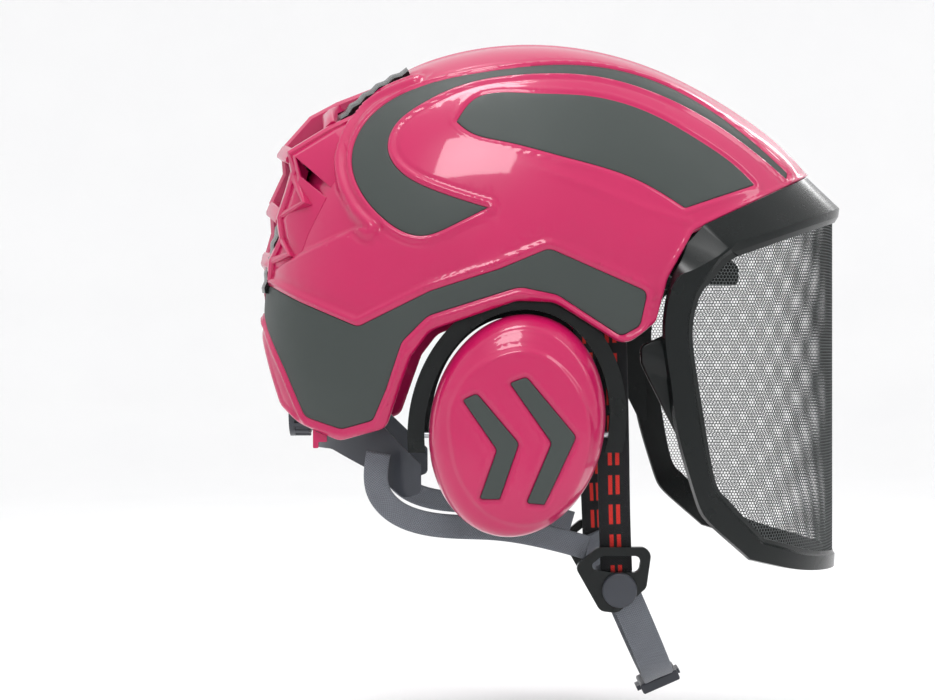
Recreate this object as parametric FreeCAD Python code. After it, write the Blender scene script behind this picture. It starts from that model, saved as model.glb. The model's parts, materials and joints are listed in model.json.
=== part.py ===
"""Forestry helmet with a mesh visor, ear muffs, an adjustable harness and a chin strap.

Millimetres. +X is forward, +Z is up, +Y is the wearer's left.
The origin is the centre of the head cavity at the headband.
"""
import FreeCAD, Part
import math
import os

V = FreeCAD.Vector

# ---- outer shell: a dome swept about a cross axis through DOME_X, DOME_Z ----
DOME_X = 18.0
DOME_Z = -45.0
HALF_WIDTH = 108.0
SIDE_POWER = 2.3
SHELL_WALL = 3.0
INLAY_DEPTH = 1.2
# angle above forward (degrees), radius in the middle plane, roundness power
DOME_PROFILE = [
    (-20, 190, 2.3), (0, 190, 2.3), (20, 188, 2.3), (35, 183.5, 2.3), (48, 176.5, 2.3),
    (62, 172, 2.3), (77, 169.5, 2.3), (92, 168, 2.3), (107, 167, 2.3), (122, 164.5, 2.35),
    (137, 158, 2.45), (150, 151, 2.6), (163, 146, 2.75), (176, 142.5, 2.9), (190, 141.5, 3.0),
    (206, 140.5, 2.9), (228, 139, 2.7),
]
DOME_LOW = -18.0
DOME_HIGH = 226.0
DOME_STEPS = 40
ACROSS_STEPS = 28
ACROSS_END = 87.6

# ---- side outlines: (x, z, corner radius) ----
RIM_OUTLINE = [
    (230, 76.3, 0), (104, 15.5, 5), (90, -9, 12), (84, -31, 6), (68, -43, 9), (33, -21, 14),
    (14, -20, 14), (-30, -35, 12), (-40, -48, 8), (-45, -62, 12), (-53, -85, 7), (-77, -92, 8),
    (-99, -83.5, 8), (-110, -74, 9), (-123, -38, 12), (-122.5, -9, 3), (-150, -9, 0),
    (-150, 150, 0), (230, 150, 0),
]
NECK_OPENING = [(-60, -140, 0), (-33, -50, 14), (33, -50, 14), (60, -140, 0)]
LEAF_TOP = [(-17, 73), (-8, 85.5), (21, 89), (53, 87.6), (84, 79), (110, 64.5), (129, 51), (139, 41)]
LEAF_BOTTOM = [(100, 27.3), (77, 41), (36, 54), (6, 62), (-10, 67), (-17, 73)]
SWEEP_OUTER = [
    (0, 27), (-18, 18), (-35, 12.5), (-53, 21), (-66, 36), (-72, 54), (-65, 76), (-36, 95),
    (-4, 102), (27, 106), (60, 106), (92, 98), (124, 80), (160, 49),
]
SWEEP_INNER = [
    (158, 45), (122, 73), (87, 91), (54, 99.5), (22, 99.8), (-10, 95), (-36, 83), (-50, 70),
    (-52, 58), (-45, 46.5), (-30, 37.5), (0, 27),
]
SIDE_INLAY = [
    (-122, -8, 4), (-98, -20, 20), (-67, -33, 5), (-30, -15, 30), (5, -4, 40), (30, 6.5, 7),
    (80, -15.5, 4), (76, -33, 5), (66, -38.5, 5), (34, -17.5, 10), (15, -13.5, 14),
    (-31, -28, 12), (-44, -41, 9), (-52, -65, 12), (-59, -81, 5), (-76, -86, 8),
    (-96, -80, 6), (-107, -56, 12), (-119, -34, 8), (-123, -24, 4),
]
INLAY_INNER_Y = 22.0
LOBE_TAB = [(-91, -95.8, 0.6), (-88.2, -95.8, 0.6), (-88.2, -92.6, 0.4), (-83.8, -92.6, 0.6),
            (-83.8, -86, 0), (-91, -86, 0)]

# ---- rear vent cover: (x, z) down its middle, then half width and edge drop ----
VENT_SPINE = [(-70, 99), (-84, 91), (-97, 84), (-114, 66), (-113, 52), (-121, 36), (-120, 20),
              (-126, 4), (-124, -8)]
VENT_HALF = [30, 34, 38, 44, 50, 48, 46, 42, 38]
VENT_HUB = V(-42, 0, 25)
VENT_LEANS = (9, 4)

# ---- head, liner and harness ----
LINER_CENTRE = V(-2, 0, 2)
LINER_OUTER = (112.0, 96.0, 111.0)
LINER_INNER = (99.0, 83.0, 98.0)
LINER_BASE = 16.0
LINER_GAP = 1.0
BAND_OUTER = (93.0, 76.0)
BAND_WALL = 2.0
BAND_LOW = -4.0
BAND_HIGH = 26.0
BAND_REAR = -30.0
PAD_WALL = 5.0
PAD_REAR = 52.0
CRADLE_INNER = (94.0, 80.0)
CRADLE_WALL = 2.5
CRADLE_OUTLINE = [
    (-22, 10, 4), (-22, -2, 4), (-50, -8, 8), (-66, -28, 14), (-68, -72, 14), (-42, -98, 8),
    (-35, -104, 3), (-35, -119, 3), (-44, -122, 5), (-62, -108, 10), (-84, -98, 8),
    (-120, -98, 0), (-120, -60, 0), (-86, -58, 10), (-82, -20, 16), (-66, 2, 12), (-46, 10, 8),
]
CROWN_WIDTH = 20.0
CROWN_WALL = 1.5
CROWN_LONG = (89.0, 88.0)
CROWN_CROSS = (74.0, 91.5)
CROWN_BASE = 30.0
CLIP_PLACES = [(88, 0), (-88, 0), (0, 73), (0, -73)]
CLIP_THROUGH = 9.0
CLIP_HALF = 8.0
CLIP_LOW = 20.0
CLIP_HIGH = 29.6
KNOB_CENTRE = V(-98.5, 0, -78)
KNOB_RADIUS = 15.0
KNOB_DEPTH = 11.0
KNOB_GRIPS = 16

# ---- visor: an oval cylinder about the Z axis, cut to a side outline ----
VISOR_X = 85.0
VISOR_LONG = 106.0
VISOR_HALF = 103.0
VISOR_OUTLINE = [
    (87, -32, 4), (90.9, -10, 6), (102.6, 10.4, 3), (108, 14.9, 2), (178, 48.9, 1), (196, 33.5, 1),
    (193.5, 24, 1), (193.5, -168, 4), (186, -167, 8), (157, -158, 20), (130, -149.5, 16),
    (116, -139, 14), (104.5, -121, 16), (95, -90, 30),
]
MESH_OUTLINE = [
    (106, -20, 8), (114, -1, 6), (129, 13, 5), (205, 31, 0), (205, -157, 0), (190, -153, 14),
    (142, -141, 14), (124, -126, 12), (115, -104, 16), (109, -70, 30),
]
FRAME_OUT = 3.5
FRAME_IN = 2.5
BROW_DEPTH = 24.0
BROW_GAP = 1.6
BROW_STRIP = [(105, 12.5, 0), (108, 14.7, 0), (178, 48.8, 0), (196, 33.5, 0), (196, 29, 0),
              (177, 45, 0), (109, 11.5, 0), (105, 9, 0)]
MESH_WALL = 0.8
GUSSET_OUTLINE = [(97, -30, 3), (74, -44, 5), (75, -55, 4), (92, -84, 3), (103, -84, 0), (103, -30, 0)]
GUSSET_OUT = 101.5
GUSSET_IN = 95.5

# ---- visor arms: arcs about the virtual pivot, running in guides in the temples ----
PIVOT_X = 116.3
PIVOT_Z = 42.5
ARM_RADIUS = 47.6
ARM_WIDTH = 8.0
ARM_Y = 77.0
ARM_WALL = 4.0
ARM_START = 168.0
ARM_END = 273.0
GUIDE_START = 205.0
GUIDE_END = 258.0
GUIDE_GAP = 0.4
GUIDE_WALL = 2.6
ARM_PIN = 3.0
# the arm's foot, from the centre of the arc's end
FOOT_OUTLINE = [(-9, -7, 3), (8, -7, 3), (8, 2, 2), (3, 7, 3), (-9, 7, 3)]

# ---- ear muffs ----
CUP_X = 14.0
CUP_Z = -83.0
CUP_LONG = 113.0
CUP_WIDE = 88.0
CUP_TILT = 11.0
CUP_FACE_Y = 127.0
CUP_BACK_Y = 99.0
PLATE_Y = 92.0
CUSHION_Y = 81.5
CUP_WALL = 3.0
YOKE_Y = 92.0
YOKE_WALL = 5.0
YOKE_GAP = 2.4
YOKE_WIDTH = 8.5
TILT_Y = 94.5
TILT_Z = -88.0
TILT_PIN = 1.6
STEM_X = 18.0
STEM_WIDTH = 12.0
STEM_Y = 91.5
STEM_WALL = 3.0
STEM_TOP = 14.0
SWING_Y = 93.0
SWING_Z = -8.0
SWING_PIN = 3.0
RUN_GAP = 0.06

# ---- chin harness ----
WEB_WIDTH = 16.5
WEB_WALL = 1.6
REAR_WEB = 12.5
DIVIDER = V(66.5, -70, -162)
CHIN = V(94, 0, -225)
FRONT_TOP = V(61.5, -90, -28)
REAR_PATH = [(-57, -98), (-57, -118), (-49.5, -127.5), (-37, -133.5), (-17, -136.5), (3, -137.5),
             (52, -148)]
REAR_YAW = 4.6
BUCKLE_LENGTH = 30.0
BUCKLE_WIDTH = 22.0
BUCKLE_WALL = 8.0
TAB_LENGTH = 12.0
DIVIDER_OUTLINE = [(-22, 5, 4), (-10, 15, 5), (18, 15, 5), (15, -6, 5), (0, -19, 6), (-9, -18, 5)]
DIVIDER_HOLE = [(-16, 4, 3), (-8, 10.5, 3), (12.5, 10.5, 3), (11, 2, 3), (-3, 2, 3)]
DIVIDER_HALF = 2.2


# ---------------------------------------------------------------- helpers
def rounded(points):
    """Closed outline in the XZ plane; each point is x, z and the radius of its corner."""
    count = len(points)
    corners = []
    for i, (x, z, radius) in enumerate(points):
        here = V(x, 0, z)
        before = V(points[i - 1][0], 0, points[i - 1][1]) - here
        after = V(points[(i + 1) % count][0], 0, points[(i + 1) % count][1]) - here
        inner = before.getAngle(after)
        if radius == 0 or math.pi - inner < 0.02:
            corners.append((here, here, here))
            continue
        reach = min(radius / math.tan(inner / 2), 0.47 * min(before.Length, after.Length))
        radius = reach * math.tan(inner / 2)
        before.normalize()
        after.normalize()
        inward = before + after
        inward.normalize()
        middle = here + inward * (radius / math.sin(inner / 2) - radius)
        corners.append((here + before * reach, middle, here + after * reach))
    edges = []
    for i, (start, middle, end) in enumerate(corners):
        if (end - start).Length > 1e-6:
            edges.append(Part.Arc(start, middle, end).toShape())
        following = corners[(i + 1) % count][0]
        if (following - end).Length > 1e-6:
            edges.append(Part.LineSegment(end, following).toShape())
    return Part.Wire(edges)


def curve(points):
    """Smooth edge in the XZ plane through the points."""
    spline = Part.BSplineCurve()
    spline.interpolate([V(x, 0, z) for x, z in points])
    return spline.toShape()


def closed_curve(*parts):
    """Closed outline of smooth stretches, joined by straight lines where they do not meet."""
    edges = []
    for i, points in enumerate(parts):
        edges.append(curve(points))
        following = parts[(i + 1) % len(parts)][0]
        gap = V(following[0] - points[-1][0], 0, following[1] - points[-1][1])
        if gap.Length > 1e-6:
            start = V(points[-1][0], 0, points[-1][1])
            edges.append(Part.LineSegment(start, start + gap).toShape())
    return Part.Wire(edges)


def prism(wire, low_y, high_y):
    """Side outline extruded along Y."""
    face = Part.Face(wire)
    face.translate(V(0, low_y, 0))
    return face.extrude(V(0, high_y - low_y, 0))


def box(low, high):
    size = V(*high) - V(*low)
    return Part.makeBox(size.x, size.y, size.z, V(*low))


def left_of(shape):
    """The left-hand twin of a right-hand piece."""
    return shape.mirror(V(0, 0, 0), V(0, 1, 0))


def rod(start, end, radius):
    axis = V(*end) - V(*start)
    return Part.makeCylinder(radius, axis.Length, V(*start), axis)


def joined(shapes):
    return shapes[0].fuse(shapes[1:]).removeSplitter()


def sewn(faces):
    """Solid closed by the faces."""
    shell = Part.makeShell(faces)
    shell.sewShape()
    solid = Part.Solid(shell)
    if solid.Volume < 0:
        solid.reverse()
    return solid


def ellipse_face(centre, x_half, y_half):
    """Level face bounded by an ellipse."""
    if x_half >= y_half:
        ellipse = Part.Ellipse(centre, x_half, y_half)
    else:
        ellipse = Part.Ellipse(centre + V(0, y_half, 0), centre + V(x_half, 0, 0), centre)
    return Part.Face(Part.Wire(ellipse.toShape()))


def oval(x_half, y_half, low_z, high_z, centre_x=0.0):
    """Upright oval cylinder."""
    return ellipse_face(V(centre_x, 0, low_z), x_half, y_half).extrude(V(0, 0, high_z - low_z))


def ellipsoid(halves, centre):
    matrix = FreeCAD.Matrix()
    matrix.scale(V(*halves))
    matrix.move(centre)
    return Part.makeSphere(1.0).transformGeometry(matrix)


# ---------------------------------------------------------------- shell
def profile_curve():
    """Radius and power against angle, as one smooth curve."""
    smooth = Part.BSplineCurve()
    smooth.interpolate(Points=[V(*row) for row in DOME_PROFILE],
                       Parameters=[float(row[0]) for row in DOME_PROFILE])
    return smooth


PROFILE = profile_curve()


def dome_point(angle, across, offset):
    """Point of the dome; angle turns about the cross axis, across runs from side to side."""
    row = PROFILE.value(angle)
    side = math.sin(math.radians(abs(across))) ** (2 / SIDE_POWER)
    reach = math.cos(math.radians(across)) ** (2 / row.z)
    radius = (row.y + offset) * reach
    turn = math.radians(angle)
    y = math.copysign(side * (HALF_WIDTH + offset), across)
    return V(DOME_X + radius * math.cos(turn), y, DOME_Z + radius * math.sin(turn))


def dome(offset):
    """Solid inside the dome, moved in or out by offset."""
    grid = []
    for i in range(DOME_STEPS + 1):
        angle = DOME_LOW + (DOME_HIGH - DOME_LOW) * i / DOME_STEPS
        row = []
        for j in range(ACROSS_STEPS + 1):
            across = ACROSS_END * (2 * j / ACROSS_STEPS - 1)
            row.append(dome_point(angle, across, offset))
        grid.append(row)
    surface = Part.BSplineSurface()
    surface.interpolate(grid)
    skin = surface.toShape()
    edges = skin.Edges
    end_y = grid[0][-1].y
    hub = [V(DOME_X, -end_y, DOME_Z), V(DOME_X, end_y, DOME_Z)]

    def edge_between(a, b):
        for edge in edges:
            ends = [edge.Vertexes[0].Point, edge.Vertexes[-1].Point]
            if (ends[0] - a).Length < 0.01 and (ends[1] - b).Length < 0.01:
                return edge
            if (ends[0] - b).Length < 0.01 and (ends[1] - a).Length < 0.01:
                return edge
        raise ValueError("no edge of the dome between these corners")

    def flat(a, b, hubs):
        """Flat face between one edge of the skin and the cross axis."""
        stops = [b] + hubs + [a]
        lines = [Part.LineSegment(stops[k], stops[k + 1]).toShape() for k in range(len(stops) - 1)]
        return Part.Face(Part.Wire(Part.__sortEdges__([edge_between(a, b)] + lines)))

    faces = [
        skin,
        flat(grid[0][0], grid[-1][0], [hub[0]]),
        flat(grid[0][-1], grid[-1][-1], [hub[1]]),
        flat(grid[0][0], grid[0][-1], [hub[1], hub[0]]),
        flat(grid[-1][0], grid[-1][-1], [hub[1], hub[0]]),
    ]
    return sewn(faces)


def rim_cut():
    """Everything inside the shell's side outline, without the neck opening."""
    body = prism(rounded(RIM_OUTLINE), -150, 150)
    opening = prism(rounded(NECK_OPENING), -90, 90)
    opening.rotate(V(0, 0, 0), V(0, 0, 1), 90)
    opening.translate(V(-130, 0, 0))
    return body.cut(opening)


def inlay(outer, wire):
    """Right-hand inlay, flush with the shell, inside one side outline."""
    return outer.common(prism(wire, -150, -INLAY_INNER_Y))


def vent_cover(outer):
    """Faceted cover over the vents at the back of the crown."""
    ridge = []
    for i, (x, z) in enumerate(VENT_SPINE):
        half = VENT_HALF[i]
        lean = VENT_LEANS[i % 2]
        inward = V(DOME_X - x, 0, DOME_Z - z)
        inward.normalize()
        middle = V(x, 0, z)
        corner = V(x, half * 0.55, z) + inward * lean * 0.45
        foot = V(x, half, z) + inward * (half * 0.42)
        ridge.append([V(foot.x, -foot.y, foot.z), V(corner.x, -corner.y, corner.z), middle,
                      corner, foot])
    faces = []
    for i in range(len(ridge) - 1):
        for j in range(4):
            a, b = ridge[i][j], ridge[i][j + 1]
            c, d = ridge[i + 1][j + 1], ridge[i + 1][j]
            faces.append(Part.Face(Part.makePolygon([a, b, c, a])))
            faces.append(Part.Face(Part.makePolygon([a, c, d, a])))
        for j in (0, 4):
            a, d = ridge[i][j], ridge[i + 1][j]
            faces.append(Part.Face(Part.makePolygon([a, d, VENT_HUB, a])))
    for i in (0, len(ridge) - 1):
        for j in range(4):
            a, b = ridge[i][j], ridge[i][j + 1]
            faces.append(Part.Face(Part.makePolygon([a, b, VENT_HUB, a])))
    return sewn(faces).cut(outer)


# ---------------------------------------------------------------- liner and harness
def impact_liner():
    """Head-shaped energy-absorbing liner, vented, clear of the shell."""
    body = ellipsoid(LINER_OUTER, LINER_CENTRE).cut(ellipsoid(LINER_INNER, LINER_CENTRE))
    body = body.common(box((-150, -120, LINER_BASE), (150, 120, 150)))
    vents = []
    for x in (-34, 30):
        for y in (-34, 34):
            vents.append(rod((x, y, 40), (x * 1.25, y * 1.5, 130), 9))
    return body.cut(vents).common(dome(-SHELL_WALL - LINER_GAP))


def band(outer, wall, outline_wire):
    """Upright oval band cut to a side outline."""
    ring = oval(outer[0], outer[1], -160, 60)
    ring = ring.cut(oval(outer[0] - wall, outer[1] - wall, -161, 61))
    return ring.common(prism(outline_wire, -150, 150))


def headband():
    outline = rounded([(BAND_REAR, BAND_LOW, 4), (130, BAND_LOW, 0), (130, BAND_HIGH, 0),
                       (60, BAND_HIGH, 20), (20, BAND_HIGH - 8, 20), (BAND_REAR, BAND_HIGH - 8, 6)])
    return band(BAND_OUTER, BAND_WALL, outline)


def brow_pad():
    outline = rounded([(PAD_REAR, BAND_LOW - 2, 6), (130, BAND_LOW - 2, 0), (130, BAND_HIGH - 2, 0),
                       (PAD_REAR, BAND_HIGH - 8, 6)])
    pad_outer = (BAND_OUTER[0] - BAND_WALL, BAND_OUTER[1] - BAND_WALL)
    return band(pad_outer, PAD_WALL, outline)


def crown_strap(half_span, rise):
    """Webbing arch over the head, fore and aft."""
    ring = ellipse_face(V(0, 0, 0), half_span, rise)
    ring = ring.cut(ellipse_face(V(0, 0, 0), half_span - CROWN_WALL, rise - CROWN_WALL))
    arch = ring.extrude(V(0, 0, CROWN_WIDTH))
    arch.translate(V(0, 0, -CROWN_WIDTH / 2))
    arch.rotate(V(0, 0, 0), V(1, 0, 0), 90)
    return arch.common(box((-150, -150, CROWN_BASE), (150, 150, 150)))


def harness_clips():
    """Four clips that hang the crown straps from the liner."""
    clips = []
    for x, y in CLIP_PLACES:
        x_half = CLIP_THROUGH if x else CLIP_HALF
        y_half = CLIP_THROUGH if y else CLIP_HALF
        clips.append(box((x - x_half, y - y_half, CLIP_LOW), (x + x_half, y + y_half, CLIP_HIGH)))
    whole = Part.makeCompound(clips)
    whole = whole.common(ellipsoid(LINER_INNER, LINER_CENTRE))
    return whole.cut([headband(), brow_pad()])


def nape_cradle():
    outer = (CRADLE_INNER[0] + CRADLE_WALL, CRADLE_INNER[1] + CRADLE_WALL)
    cradle = band(outer, CRADLE_WALL, rounded(CRADLE_OUTLINE))
    hub = rod((-outer[0] + 0.8, 0, KNOB_CENTRE.z), (-outer[0] - 2, 0, KNOB_CENTRE.z), 12)
    axle = rod((-outer[0] - 1, 0, KNOB_CENTRE.z), (-outer[0] - 9, 0, KNOB_CENTRE.z), 3)
    return joined([cradle, hub, axle])


def nape_pad():
    outline = rounded([(-120, -94, 0), (-70, -92, 6), (-70, -64, 6), (-120, -64, 0)])
    return band(CRADLE_INNER, PAD_WALL, outline)


def size_knob():
    """Ribbed knob on the cradle's axle."""
    start = -(CRADLE_INNER[0] + CRADLE_WALL) - 2.3
    knob = rod((start, 0, KNOB_CENTRE.z), (start - KNOB_DEPTH, 0, KNOB_CENTRE.z), KNOB_RADIUS)
    cuts = [rod((start + 1, 0, KNOB_CENTRE.z), (start - 7.5, 0, KNOB_CENTRE.z), 3 + RUN_GAP)]
    for i in range(KNOB_GRIPS):
        turn = 2 * math.pi * i / KNOB_GRIPS
        y = (KNOB_RADIUS + 0.8) * math.cos(turn)
        z = KNOB_CENTRE.z + (KNOB_RADIUS + 0.8) * math.sin(turn)
        cuts.append(rod((start + 1, y, z), (start - 8, y, z), 2.0))
    return knob.cut(cuts)


# ---------------------------------------------------------------- visor
def visor_oval(offset, low_z=-200, high_z=90):
    return oval(VISOR_LONG + offset, VISOR_HALF + offset, low_z, high_z, VISOR_X)


def visor_frame():
    ring = visor_oval(FRAME_OUT).cut(visor_oval(-FRAME_IN))
    outline = prism(rounded(VISOR_OUTLINE), -150, 150)
    rim = ring.common(outline).cut(prism(rounded(MESH_OUTLINE), -150, 150))
    brow = visor_oval(FRAME_OUT).cut(visor_oval(-BROW_DEPTH))
    brow = brow.common(prism(rounded(BROW_STRIP), -150, 150)).cut(dome(BROW_GAP))
    gusset = prism(rounded(GUSSET_OUTLINE), -GUSSET_OUT, -GUSSET_IN)
    return joined([rim, brow, gusset, left_of(gusset)])


def visor_mesh():
    sheet = visor_oval(MESH_WALL / 2).cut(visor_oval(-MESH_WALL / 2))
    outline = prism(rounded(VISOR_OUTLINE), -150, 150)
    return sheet.common(outline).common(prism(rounded(MESH_OUTLINE), -150, 150))


def arc_slab(inner_radius, outer_radius, start, end, low_y, high_y):
    """Arc-shaped slab about the visor's pivot, right-hand side."""
    def at(radius, angle):
        turn = math.radians(angle)
        return V(PIVOT_X + radius * math.cos(turn), low_y, PIVOT_Z + radius * math.sin(turn))
    middle = (start + end) / 2
    edges = [
        Part.Arc(at(outer_radius, start), at(outer_radius, middle), at(outer_radius, end)).toShape(),
        Part.LineSegment(at(outer_radius, end), at(inner_radius, end)).toShape(),
        Part.Arc(at(inner_radius, end), at(inner_radius, middle), at(inner_radius, start)).toShape(),
        Part.LineSegment(at(inner_radius, start), at(outer_radius, start)).toShape(),
    ]
    return Part.Face(Part.Wire(edges)).extrude(V(0, high_y - low_y, 0))


def arm_end():
    """Centre of the visor arm's front end."""
    turn = math.radians(ARM_END)
    return V(PIVOT_X + ARM_RADIUS * math.cos(turn), -ARM_Y, PIVOT_Z + ARM_RADIUS * math.sin(turn))


def visor_arm():
    """Arc that slides in the guide, with a foot that reaches out to the visor's frame."""
    half = ARM_WIDTH / 2
    arc = arc_slab(ARM_RADIUS - half, ARM_RADIUS + half, ARM_START, ARM_END, -ARM_Y - ARM_WALL, -ARM_Y)
    end = arm_end()
    foot = prism(rounded([(end.x + x, end.z + z, radius) for x, z, radius in FOOT_OUTLINE]), -120, -ARM_Y)
    pin = rod((end.x, -120, end.z), (end.x, -ARM_Y + 1, end.z), ARM_PIN)
    return joined([arc, foot]).common(visor_oval(-FRAME_IN)).cut(pin)


def arm_pins():
    """Pins that fasten the arms to the visor frame."""
    end = arm_end()
    pin = rod((end.x, -120, end.z), (end.x, -ARM_Y + 1.5, end.z), ARM_PIN)
    head = rod((end.x, -ARM_Y, end.z), (end.x, -ARM_Y + 2, end.z), ARM_PIN + 2)
    pin = joined([pin.common(visor_oval(-FRAME_IN)), head])
    return Part.makeCompound([pin, left_of(pin)])


def visor_guide(inner):
    """Curved channel for the visor's arm, fixed inside the shell's temple."""
    half = ARM_WIDTH / 2 + GUIDE_GAP
    low = -ARM_Y - ARM_WALL - GUIDE_GAP
    high = -ARM_Y + GUIDE_GAP
    block = arc_slab(ARM_RADIUS - half - GUIDE_WALL, ARM_RADIUS + half + GUIDE_WALL,
                     GUIDE_START, GUIDE_END, low - GUIDE_WALL, high + GUIDE_WALL)
    slot = arc_slab(ARM_RADIUS - half, ARM_RADIUS + half, GUIDE_START - 5, GUIDE_END + 5, low, high)
    lug = box((74, -120, 2), (86, low - GUIDE_WALL + 0.5, 12))
    return joined([block.cut(slot), lug.common(inner)])


# ---------------------------------------------------------------- ear muffs
def cup_oval(offset, low_y, high_y):
    """Tilted oval prism of the ear cup, right-hand side."""
    ellipse = Part.Ellipse(V(0, 0, 0), CUP_LONG / 2 + offset, CUP_WIDE / 2 + offset)
    face = Part.Face(Part.Wire(ellipse.toShape()))
    face.rotate(V(0, 0, 0), V(1, 0, 0), 90)
    face.rotate(V(0, 0, 0), V(0, 1, 0), -90 + CUP_TILT)
    face.translate(V(CUP_X, high_y, CUP_Z))
    return face.extrude(V(0, low_y - high_y, 0))


def rounded_cup(offset, low_y, high_y, radius):
    """Cup solid whose outer face is rounded over its whole edge."""
    body = cup_oval(offset, low_y, high_y)
    rim = [e for e in body.Edges if abs(e.BoundBox.YMin - low_y) < 0.01 and e.BoundBox.YLength < 0.01]
    return body.makeFillet(radius, rim)


def cup_cover():
    outer = rounded_cup(0, -CUP_FACE_Y, -CUP_BACK_Y, 16)
    inner = rounded_cup(-CUP_WALL, -CUP_FACE_Y + CUP_WALL, -CUP_BACK_Y, 13)
    return outer.cut(inner)


def chevrons():
    """Two chevrons raised on the face of the cup, pointing forward."""
    pieces = []
    for x, low, high in ((-3, -32, 34), (21, -30, 30)):
        arrow = rounded([(x, low, 1), (x + 8, low, 1), (x + 17, -3, 3), (x + 2, high, 1),
                         (x - 6, high - 2, 1), (x + 8, -4, 3)])
        plate = prism(arrow, -CUP_FACE_Y - 1.0, -CUP_FACE_Y)
        plate.rotate(V(0, 0, 0), V(0, 1, 0), CUP_TILT * 0.4)
        plate.translate(V(CUP_X - 9, 0, CUP_Z))
        pieces.append(plate)
    return Part.makeCompound(pieces)


def cup_back():
    """Back housing that carries the cushion and the tilt pins."""
    plate = cup_oval(-2.5, -CUP_BACK_Y, -PLATE_Y)
    hole = cup_oval(-20, -CUP_BACK_Y - 1, -PLATE_Y + 1)
    return plate.cut(hole)


def tilt_pins():
    reach = CUP_WIDE / 2 + 14
    rods = rod((CUP_X - reach, -TILT_Y, TILT_Z), (CUP_X + reach, -TILT_Y, TILT_Z), TILT_PIN)
    rods = rods.cut(cup_oval(-2.5, -CUP_BACK_Y - 5, -PLATE_Y + 5))
    return rods.common(yoke_oval(YOKE_WIDTH + YOKE_GAP))


def yoke_oval(offset):
    return cup_oval(offset, -YOKE_Y - 12, -YOKE_Y + 12)


def yoke():
    """Inverted U round the top of the cup, with its stem."""
    ring = cup_oval(YOKE_GAP + YOKE_WIDTH, -YOKE_Y - YOKE_WALL, -YOKE_Y)
    ring = ring.cut(yoke_oval(YOKE_GAP))
    upper = box((CUP_X - 90, -120, TILT_Z - 9), (CUP_X + 90, -60, TILT_Z + 120))
    legs = ring.common(upper)
    bore = rod((CUP_X - 90, -TILT_Y, TILT_Z), (CUP_X + 90, -TILT_Y, TILT_Z), TILT_PIN + RUN_GAP)
    legs = legs.cut(bore)
    neck = box((STEM_X - 12, -YOKE_Y - YOKE_WALL, -26), (STEM_X + 12, -YOKE_Y, -19))
    neck = neck.cut(yoke_oval(YOKE_GAP + 1))
    stem = box((STEM_X - STEM_WIDTH / 2, -STEM_Y - STEM_WALL, -24),
               (STEM_X + STEM_WIDTH / 2, -STEM_Y, STEM_TOP))
    return joined([legs, neck, stem])


def muff_carrier():
    """Sleeve that holds the stem and swings on two trunnions."""
    block = box((STEM_X - 10, -SWING_Y - 5, SWING_Z - 6), (STEM_X + 10, -SWING_Y + 5, SWING_Z + 6))
    gap = 0.3
    slot = box((STEM_X - STEM_WIDTH / 2 - gap, -STEM_Y - STEM_WALL - gap, -60),
               (STEM_X + STEM_WIDTH / 2 + gap, -STEM_Y + gap, 60))
    shafts = [rod((STEM_X + s * 9.9, -SWING_Y, SWING_Z), (STEM_X + s * 15, -SWING_Y, SWING_Z), SWING_PIN)
              for s in (-1, 1)]
    return joined([block.cut(slot)] + shafts)


def muff_bracket(inner):
    """Two ears on a foot that is fixed to the inside of the shell."""
    pieces = []
    for s in (-1, 1):
        low = STEM_X + s * 12.8 - 2.3
        pieces.append(box((low, -120, SWING_Z - 5), (low + 4.6, -SWING_Y + 5, SWING_Z + 20)))
    foot_y = -STEM_Y - STEM_WALL - 0.6
    pieces.append(box((STEM_X - 15, -120, SWING_Z + 9), (STEM_X + 15, foot_y, SWING_Z + 20)))
    whole = joined(pieces).common(inner)
    bore = rod((STEM_X - 30, -SWING_Y, SWING_Z), (STEM_X + 30, -SWING_Y, SWING_Z), SWING_PIN + RUN_GAP)
    return whole.cut(bore)


def cushion():
    ring = rounded_cup(-6, -PLATE_Y, -CUSHION_Y, 3)
    return ring.cut(cup_oval(-24, -PLATE_Y - 1, -CUSHION_Y + 1))


def cup_foam():
    return cup_oval(-22, -CUP_BACK_Y - 8, -PLATE_Y - 0.5)


# ---------------------------------------------------------------- chin harness
def ribbon(path, wall):
    """Thin closed outline of a strap that follows a side path; path lies in the XZ plane."""
    half = wall / 2
    near = []
    far = []
    for i, (x, z) in enumerate(path):
        a = path[max(i - 1, 0)]
        b = path[min(i + 1, len(path) - 1)]
        run = V(b[0] - a[0], 0, b[1] - a[1])
        run.normalize()
        near.append((x - run.z * half, z + run.x * half))
        far.append((x + run.z * half, z - run.x * half))
    far.reverse()
    return closed_curve(near, far)


def front_strap():
    """Webbing from the shell's temple down to the divider."""
    run = V(DIVIDER.x - FRONT_TOP.x, 0, DIVIDER.z - FRONT_TOP.z)
    length = run.Length
    path = [(FRONT_TOP.y, 0), (-87.5, -30), (-79, -75), (-72, -length + 30),
            (DIVIDER.y - 1.4, -length + 2)]
    strap = prism(ribbon(path, WEB_WALL), -WEB_WIDTH / 2, WEB_WIDTH / 2)
    strap.rotate(V(0, 0, 0), V(0, 0, 1), 90)
    strap.rotate(V(0, 0, 0), V(0, 1, 0), -math.degrees(math.atan2(run.x, -run.z)))
    strap.translate(V(FRONT_TOP.x, 0, FRONT_TOP.z))
    return strap


def rear_strap():
    """Webbing from the nape under the ear cup to the divider."""
    strap = prism(ribbon(REAR_PATH, REAR_WEB), -WEB_WALL / 2, WEB_WALL / 2)
    strap.translate(V(38, 0, 0))
    strap.rotate(V(0, 0, 0), V(0, 0, 1), REAR_YAW)
    strap.translate(V(-38, -77, 0))
    return strap


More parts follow.
